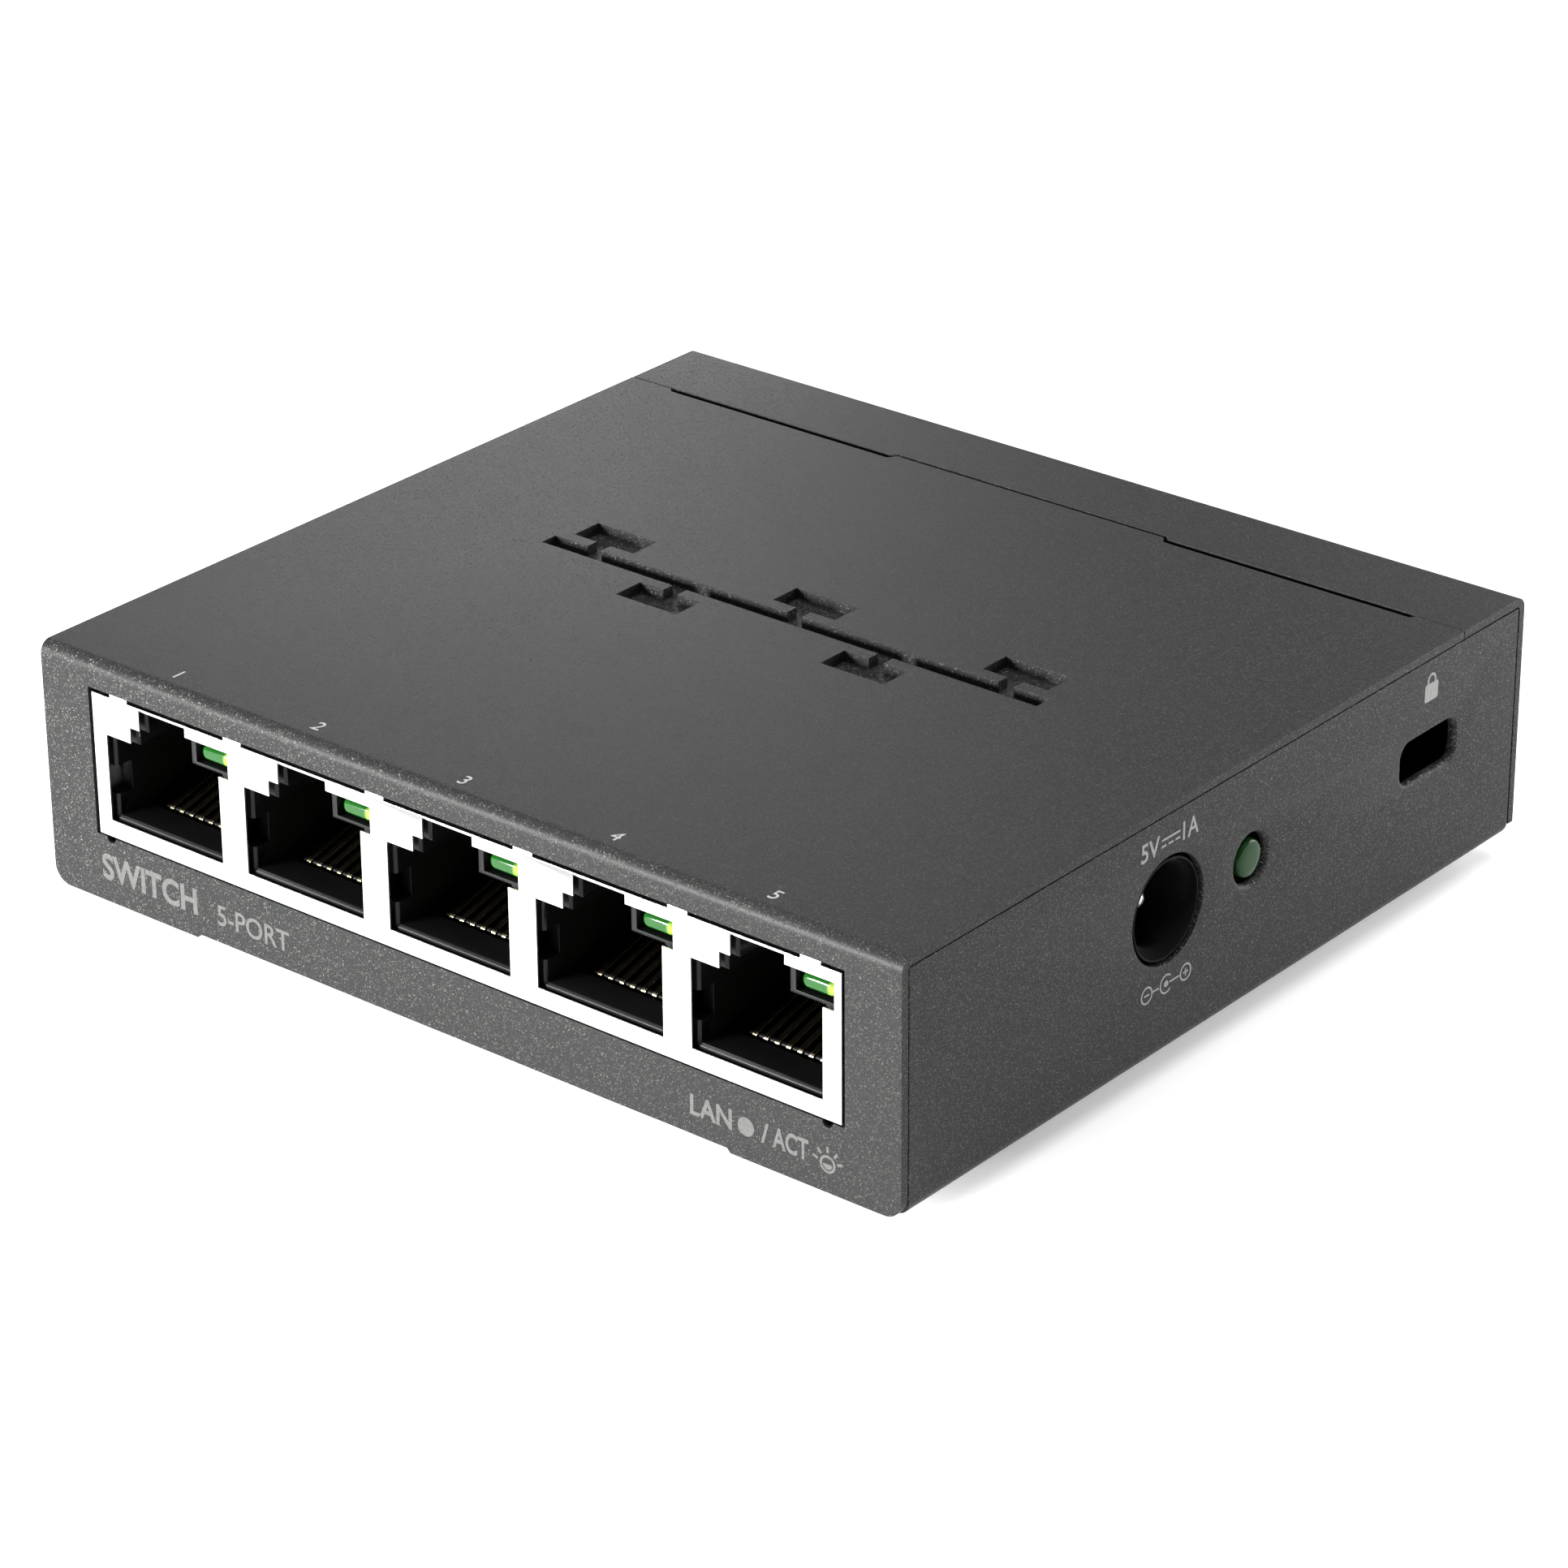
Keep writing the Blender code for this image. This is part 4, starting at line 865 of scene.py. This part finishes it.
def build_contacts():
    """Eight gold strips of each port, and the moulded bar that joins their roots."""
    bar_outline = circle(WIRE_ROOT, WIRE_BEND - WIRE_THICKNESS + 0.04, 16)
    for index in range(PORT_COUNT):
        middle = port_left(index) + PORT_WIDTH / 2
        body = f"contact_set_{index + 1}"
        bm = bmesh.new()
        for number in range(CONTACT_COUNT):
            x = middle + (number - (CONTACT_COUNT - 1) / 2) * CONTACT_PITCH
            add_prism(bm, wire_outline(), "X", x - WIRE_WIDTH / 2, x + WIRE_WIDTH / 2)
        strips = bare_object(f"contact_strips_{index + 1}", bm)
        round_edges(strips, 0.07, 3, 60.0)
        finish_piece(strips, MATERIALS["gold_plate"], body,
                     (f"port_contacts_{index + 1}",))
        bm = bmesh.new()
        add_prism(bm, bar_outline, "X", middle - BAR_HALF_LENGTH, middle + BAR_HALF_LENGTH)
        bar = bare_object(f"contact_bar_{index + 1}", bm)
        finish_piece(bar, MATERIALS["black_plastic"], body, smooth_angle=40.0)


def build_port_lights():
    """Green lens of each port: a clear bar with a round front, low in its pocket."""
    steps = 8
    for index in range(PORT_COUNT):
        low, high = node_box(f"port_light_{index + 1}")
        middle = Vector(((low.x + high.x) / 2, low.y + LENS_ROUND, low.z + LENS_HEIGHT / 2))
        levels = [(high.y - middle.y, 0.0)]
        for step in range(steps + 1):
            angle = math.radians(90.0 * step / steps)
            levels.append((-LENS_ROUND * math.sin(angle), LENS_ROUND * (1 - math.cos(angle))))
        rings = []
        for y, inset in levels:
            height = LENS_HEIGHT - LENS_SQUEEZE * inset
            outline = rounded_rectangle((0.0, 0.0), high.x - low.x - 2 * inset, height,
                                        height * LENS_CORNER, 5)
            rings.append([(a, y, b) for a, b in outline])
        bm = bmesh.new()
        add_skin(bm, rings)
        lens = bare_object(f"port_lens_{index + 1}", bm)
        lens.location = middle * MM
        finish_piece(lens, MATERIALS["green_lens"],
                     replaces=(f"port_light_{index + 1}",), smooth_angle=50.0)


def swapped(points):
    """Exchange both coordinates of each point."""
    return [(b, a) for a, b in points]


def build_power_light():
    """Power light with its slightly domed tip."""
    low, high = node_box("power_light")
    radius = POWER_LENS_RADIUS
    rim = swapped(arc((high.x - 0.35, radius - 0.3), 0.3, 90.0, 20.0, 5))
    flange = [(1.75, low.x), (1.75, low.x + 1.0), (radius, low.x + 1.0)]
    profile = flange + rim + [(radius * 0.5, high.x - 0.02), (0.0, high.x)]
    bm = bmesh.new()
    add_turned(bm, profile, (0.0, *LIGHT), "X", 40)
    lens = bare_object("power_lens", bm, (high.x - radius, *LIGHT))
    finish_piece(lens, POWER_LENS_PAINTED_GLOW, replaces=("power_light",), smooth_angle=50.0)


def build_socket_pin():
    """Centre pin of the power socket, with its flange and its round tip."""
    low, high = node_box("power_jack_pin")
    radius = 1.0
    round_tip = radius * 0.8
    tip = swapped(arc((high.x - round_tip, 0.0), round_tip, 90.0, 0.0, 8)[:-1])
    flange = [(2.0, low.x), (2.0, low.x + 0.8), (radius, low.x + 0.8)]
    profile = flange + [(radius, high.x - 1.1)] + tip + [(0.0, high.x)]
    bm = bmesh.new()
    add_turned(bm, profile, (0.0, *SOCKET), "X", 32)
    pin = bare_object("socket_pin", bm)
    finish_piece(pin, MATERIALS["nickel_plate"], replaces=("power_jack_pin",),
                 smooth_angle=50.0)


# ---------------------------------------------------------------- underside


def build_feet():
    """Moulded rubber feet with a rounded rim and a shallow dish in the sole."""
    edge = 0.5
    dish = 0.25
    for number in range(1, 5):
        low, high = node_box(f"rubber_foot_{number}")
        middle = (low + high) / 2
        radius = (high.x - low.x) / 2
        sole = [(0.0, dish), (radius - 1.9, dish), (radius - 1.6, 0.0)]
        rim = arc((radius - edge, edge), edge, 270.0, 360.0, 6)
        bm = bmesh.new()
        add_turned(bm, sole + rim + [(radius - 0.1, BASE_Z), (0.0, BASE_Z)],
                   (middle.x, middle.y, 0.0), "Z", 48)
        foot = bare_object(f"foot_pad_{number}", bm)
        finish_piece(foot, MATERIALS["rubber"], replaces=(f"rubber_foot_{number}",),
                     smooth_angle=40.0)


def cross_outline(x, y, reach, half_width):
    """Outline of a cross recess round a place."""
    quarter = ((half_width, half_width), (half_width, reach), (-half_width, reach))
    outline = []
    for a, b in ((1, 0), (0, 1), (-1, 0), (0, -1)):
        outline += [(x + a * p - b * q, y + b * p + a * q) for p, q in quarter]
    return outline


def build_screws():
    """Pan-head case screws with a cross recess."""
    shank = 1.2
    point = 0.5
    recess = 0.7
    for number, (x, y) in enumerate(CASE_SCREWS, start=1):
        low, high = node_box(f"case_screw_{number}")
        head = (high.x - low.x) / 2
        crown = [(0.0, low.z), (head * 0.55, low.z), (head * 0.85, low.z + 0.12),
                 (head, low.z + 0.5), (head, BASE_Z)]
        thread = [(shank, BASE_Z), (shank, high.z - point), (shank * 0.6, high.z), (0.0, high.z)]
        bm = bmesh.new()
        add_turned(bm, crown + thread, (x, y, 0.0), "Z", 32)
        screw = bare_object(f"cover_screw_{number}", bm)
        cross = bmesh.new()
        add_prism(cross, cross_outline(x, y, 1.25, 0.28), "Z", low.z - OVERSHOOT, low.z + recess)
        carve(screw, "DIFFERENCE", cross)
        finish_piece(screw, MATERIALS["zinc_steel"],
                     replaces=(f"case_screw_{number}",), smooth_angle=30.0)


def build_label():
    """Blank rating label with round corners."""
    low, high = node_box("rating_label")
    middle = (low + high) / 2
    outline = rounded_rectangle((middle.x, middle.y), high.x - low.x, high.y - low.y, 1.0)
    bm = bmesh.new()
    add_prism(bm, outline, "Z", low.z, BASE_Z)
    label = bare_object("blank_label", bm)
    finish_piece(label, MATERIALS["label"], replaces=("rating_label",), smooth_angle=30.0)


# ---------------------------------------------------------------- prints

INK_LIFT = 0.012
CAP_HEIGHT = 0.72
UPRIGHT = Matrix.Rotation(math.radians(90.0), 4, "X")
TO_THE_RIGHT = Matrix.Rotation(math.radians(90.0), 4, "Z")

# Each printed face: how its plane lies in the frame, and its ink, a copy of the one print ink made
# lighter or darker as painted light and shade for that face
ON_TOP = (Matrix.Translation((0.0, 0.0, ROOF_Z)), TOP_INK_PAINTED_LIGHT)
ON_FRONT = (Matrix.Translation((0.0, FRONT, 0.0)) @ UPRIGHT, FRONT_INK_PAINTED_SHADE)
ON_RIGHT = (Matrix.Translation((RIGHT, 0.0, 0.0)) @ TO_THE_RIGHT @ UPRIGHT, RIGHT_INK_PAINTED_SHADE)

NUMBERS_Y = -35.9
LEGEND_Z = 4.62
RATING_Z = 19.15

# Words: name, text, face, middle, height, how much bolder, width
WORDS = (
    ("print_kind", "SWITCH", ON_FRONT, (-30.7, 4.85), 2.1, 0.09, 10.0),
    ("print_ports", "5-PORT", ON_FRONT, (-20.0, 4.55), 1.7, 0.03, 7.4),
    ("print_lan", "LAN", ON_FRONT, (24.2, LEGEND_Z), 1.6, 0.06, 3.8),
    ("print_slash", "/", ON_FRONT, (29.05, LEGEND_Z), 1.6, 0.04, 0.7),
    ("print_act", "ACT", ON_FRONT, (31.35, LEGEND_Z), 1.6, 0.06, 3.2),
    ("print_rating_volts", "5V", ON_RIGHT, (-10.1, RATING_Z), 1.5, 0.03, 2.2),
    ("print_rating_amps", "1A", ON_RIGHT, (-5.4, RATING_Z), 1.5, 0.02, 1.9),
)


def print_text(name, words, face, place, height, bold=0.0, width=None):
    """Print words on a face, centred on a place in its plane; width squeezes or stretches them."""
    curve = bpy.data.curves.new(name, "FONT")
    curve.body = words
    curve.align_x = "CENTER"
    curve.align_y = "CENTER"
    curve.size = height / CAP_HEIGHT
    curve.offset = bold
    curve.extrude = INK_LIFT / 2
    curve.resolution_u = 6
    holder = bpy.data.objects.new(name, curve)
    bpy.context.scene.collection.objects.link(holder)
    evaluated = holder.evaluated_get(bpy.context.evaluated_depsgraph_get())
    mesh = bpy.data.meshes.new_from_object(evaluated)
    bpy.data.objects.remove(holder, do_unlink=True)
    ends = [vertex.co.x for vertex in mesh.vertices]
    stretch = Matrix.Diagonal((width / (max(ends) - min(ends)) if width else 1.0, 1.0, 1.0, 1.0))
    plane, ink = face
    move = Matrix.Translation((*place, INK_LIFT / 2))
    mesh.transform(Matrix.Scale(MM, 4) @ plane @ move @ stretch)
    made = bpy.data.objects.new(name, mesh)
    bpy.context.scene.collection.objects.link(made)
    finish_piece(made, ink, smooth_angle=30.0)


def print_shape(name, bm, face, place):
    """Print flat shapes, drawn in their own plane round (0, 0), on a face."""
    plane, ink = face
    bmesh.ops.transform(bm, matrix=plane @ Matrix.Translation((*place, 0.0)), verts=bm.verts)
    made = bare_object(name, bm)
    finish_piece(made, ink, smooth_angle=30.0)


def add_bar(bm, start, end, width):
    """Add a straight printed stroke between two points."""
    along = (Vector(end) - Vector(start)).normalized()
    side = Vector((-along.y, along.x)) * width / 2
    corners = [Vector(start) - side, Vector(end) - side, Vector(end) + side, Vector(start) + side]
    add_prism(bm, [tuple(corner) for corner in corners], "Z", 0.0, INK_LIFT)


def draw_steady_dot(bm):
    """Draw the sign of a steady light: a dot."""
    add_prism(bm, circle((0.0, 0.0), 0.74, 32), "Z", 0.0, INK_LIFT)


def draw_blinking_dot(bm):
    """Draw the sign of a blinking light: a half-filled ring under five rays."""
    middle = Vector((0.0, -0.35))
    add_band(bm, middle, 0.5, 0.7, 0.0, 360.0, 32, 0.0, INK_LIFT)
    add_prism(bm, arc(middle, 0.42, 180.0, 360.0, 16), "Z", 0.0, INK_LIFT)
    for angle in (15.0, 50.0, 90.0, 130.0, 165.0):
        ray = Vector((math.cos(math.radians(angle)), math.sin(math.radians(angle))))
        add_bar(bm, middle + ray * 0.88, middle + ray * 1.36, 0.22)


def draw_direct_current(bm):
    """Draw the sign of direct current: a bar over three dashes."""
    add_bar(bm, (-1.1, 0.28), (1.1, 0.28), 0.16)
    for x in (-0.82, 0.0, 0.82):
        add_bar(bm, (x - 0.28, -0.22), (x + 0.28, -0.22), 0.16)


def draw_polarity(bm):
    """Draw the sign of the plug's polarity: minus on the barrel, plus on the centre."""
    line = 0.14
    side = 2.35
    for x in (-side, side):
        add_band(bm, (x, 0.0), 0.56, 0.7, 0.0, 360.0, 32, 0.0, INK_LIFT)
        add_bar(bm, (x - 0.3, 0.0), (x + 0.3, 0.0), line)
    add_bar(bm, (-1.62, 0.0), (-0.9, 0.0), line)
    add_bar(bm, (1.62, 0.0), (0.4, 0.0), line)
    for near, far in ((0.09, 0.3), (-0.09, -0.3)):
        add_bar(bm, (side, near), (side, far), line)
    add_band(bm, (0.0, 0.0), 0.64, 0.78, 45.0, 315.0, 28, 0.0, INK_LIFT)
    add_prism(bm, circle((0.0, 0.0), 0.26, 20), "Z", 0.0, INK_LIFT)


def draw_padlock(bm):
    """Draw the sign of a lock slot: a closed padlock."""
    add_prism(bm, rounded_rectangle((0.0, -0.35), 1.76, 1.45, 0.2, 4), "Z", 0.0, INK_LIFT)
    add_band(bm, (0.0, 0.62), 0.36, 0.56, 0.0, 180.0, 16, 0.0, INK_LIFT)
    for x in (-0.46, 0.46):
        add_bar(bm, (x, 0.38), (x, 0.62), 0.2)


def build_prints():
    """Port numbers, generic words and pictograms."""
    for index in range(PORT_COUNT):
        x = port_left(index) + PORT_WIDTH / 2 + 0.05
        print_text(f"print_number_{index + 1}", str(index + 1), ON_TOP, (x, NUMBERS_Y), 1.3)
    for words in WORDS:
        print_text(*words)
    for name, draw, face, place in (
            ("print_steady_dot", draw_steady_dot, ON_FRONT, (27.35, LEGEND_Z)),
            ("print_blinking_dot", draw_blinking_dot, ON_FRONT, (34.6, 4.6)),
            ("print_direct_current", draw_direct_current, ON_RIGHT, (-7.6, RATING_Z)),
            ("print_polarity", draw_polarity, ON_RIGHT, (-7.72, 7.72)),
            ("print_padlock", draw_padlock, ON_RIGHT, (LOCK[0], 18.9))):
        bm = bmesh.new()
        draw(bm)
        print_shape(name, bm, face, place)


# ---------------------------------------------------------------- kept CAD nodes, stage and camera


def dress_kept_nodes():
    """Give every CAD node its slot's material, for those that stay."""
    slots = {part["node"]: part["material_slot"] for part in frame["record"]["subparts"]}
    for name, node in frame["nodes"].items():
        node.data.materials.clear()
        node.data.materials.append(MATERIALS[slots[name]])


FLOOR_SIZE = 3000.0
FLOOR_GLOW = 0.34


def build_stage():
    """Plain pale floor, lit a little from below like a light table."""
    bm = bmesh.new()
    bmesh.ops.create_grid(bm, x_segments=1, y_segments=1, size=FLOOR_SIZE)
    floor = bare_object("floor", bm)
    nodes = Nodes("floor", (0.93, 0.93, 0.93), 0.7)
    nodes.set("Roughness", nodes.ramp(nodes.noise(40.0), 0.65, 0.75))
    nodes.shader.inputs["Emission Color"].default_value = (1.0, 1.0, 1.0, 1.0)
    nodes.shader.inputs["Emission Strength"].default_value = FLOOR_GLOW
    floor.data.materials.append(nodes.material)


def add_softbox(name, place, size, radiance, target=(0.0, 0.0, 0.01)):
    """Square lamp that faces a target; radiance is its brightness, white paper being about 1."""
    light = bpy.data.lights.new(name, "AREA")
    light.shape = "SQUARE"
    light.size = size
    light.energy = radiance * size * size * math.pi
    lamp = bpy.data.objects.new(name, light)
    lamp.location = place
    lamp.rotation_euler = (Vector(target) - Vector(place)).to_track_quat("-Z", "Y").to_euler()
    lamp.visible_camera = False
    bpy.context.scene.collection.objects.link(lamp)


SURROUND = 0.085

# Lamps: name, place in metres, size in metres, brightness
SOFTBOXES = (
    ("overhead", (0.0, 0.0, 1.0), 1.2, 2.7),
    ("front_key", (-0.335, -0.685, 0.147), 0.2, 184.0),
    ("rear_left", (-0.375, 0.345, 0.12), 0.16, 7.8),
    ("rear", (-0.12, 0.42, 0.17), 0.16, 2.1),
    ("rear_right", (0.125, 0.17, 0.055), 0.12, 7.4),
)


def build_lights():
    """Soft studio light: an even surround, an overhead box, a key in front and three behind."""
    world = bpy.data.worlds.new("studio")
    world.use_nodes = True
    background = world.node_tree.nodes["Background"]
    background.inputs["Color"].default_value = (1.0, 1.0, 1.0, 1.0)
    background.inputs["Strength"].default_value = SURROUND
    bpy.context.scene.world = world
    for softbox in SOFTBOXES:
        add_softbox(*softbox)
    bpy.context.scene.view_settings.view_transform = "Standard"


CAMERA_PLACE = (0.24221, -0.29402, 0.19370)
CAMERA_AZIMUTH = 39.538
CAMERA_ELEVATION = 25.975
CAMERA_ROLL = -0.389
CAMERA_LENS = 127.52
SENSOR = 36.0


def build_camera():
    """Camera on the right of the front face, looking down at the case."""
    data = bpy.data.cameras.new("camera")
    data.lens = CAMERA_LENS
    data.sensor_width = SENSOR
    data.clip_start = 0.01
    data.clip_end = 10.0
    camera = bpy.data.objects.new("camera", data)
    turn = Matrix.Rotation(math.radians(CAMERA_AZIMUTH), 4, "Z")
    tilt = Matrix.Rotation(math.radians(90.0 - CAMERA_ELEVATION), 4, "X")
    roll = Matrix.Rotation(math.radians(CAMERA_ROLL), 4, "Z")
    camera.matrix_world = Matrix.Translation(CAMERA_PLACE) @ turn @ tilt @ roll
    bpy.context.scene.collection.objects.link(camera)
    bpy.context.scene.camera = camera


build_camera()
dress_kept_nodes()
build_front_top_cover()
build_rear_cover()
build_base_chassis()
build_shield()
build_port_housings()
build_socket_body()
build_contacts()
build_port_lights()
build_power_light()
build_socket_pin()
build_feet()
build_screws()
build_label()
build_prints()
build_stage()
build_lights()
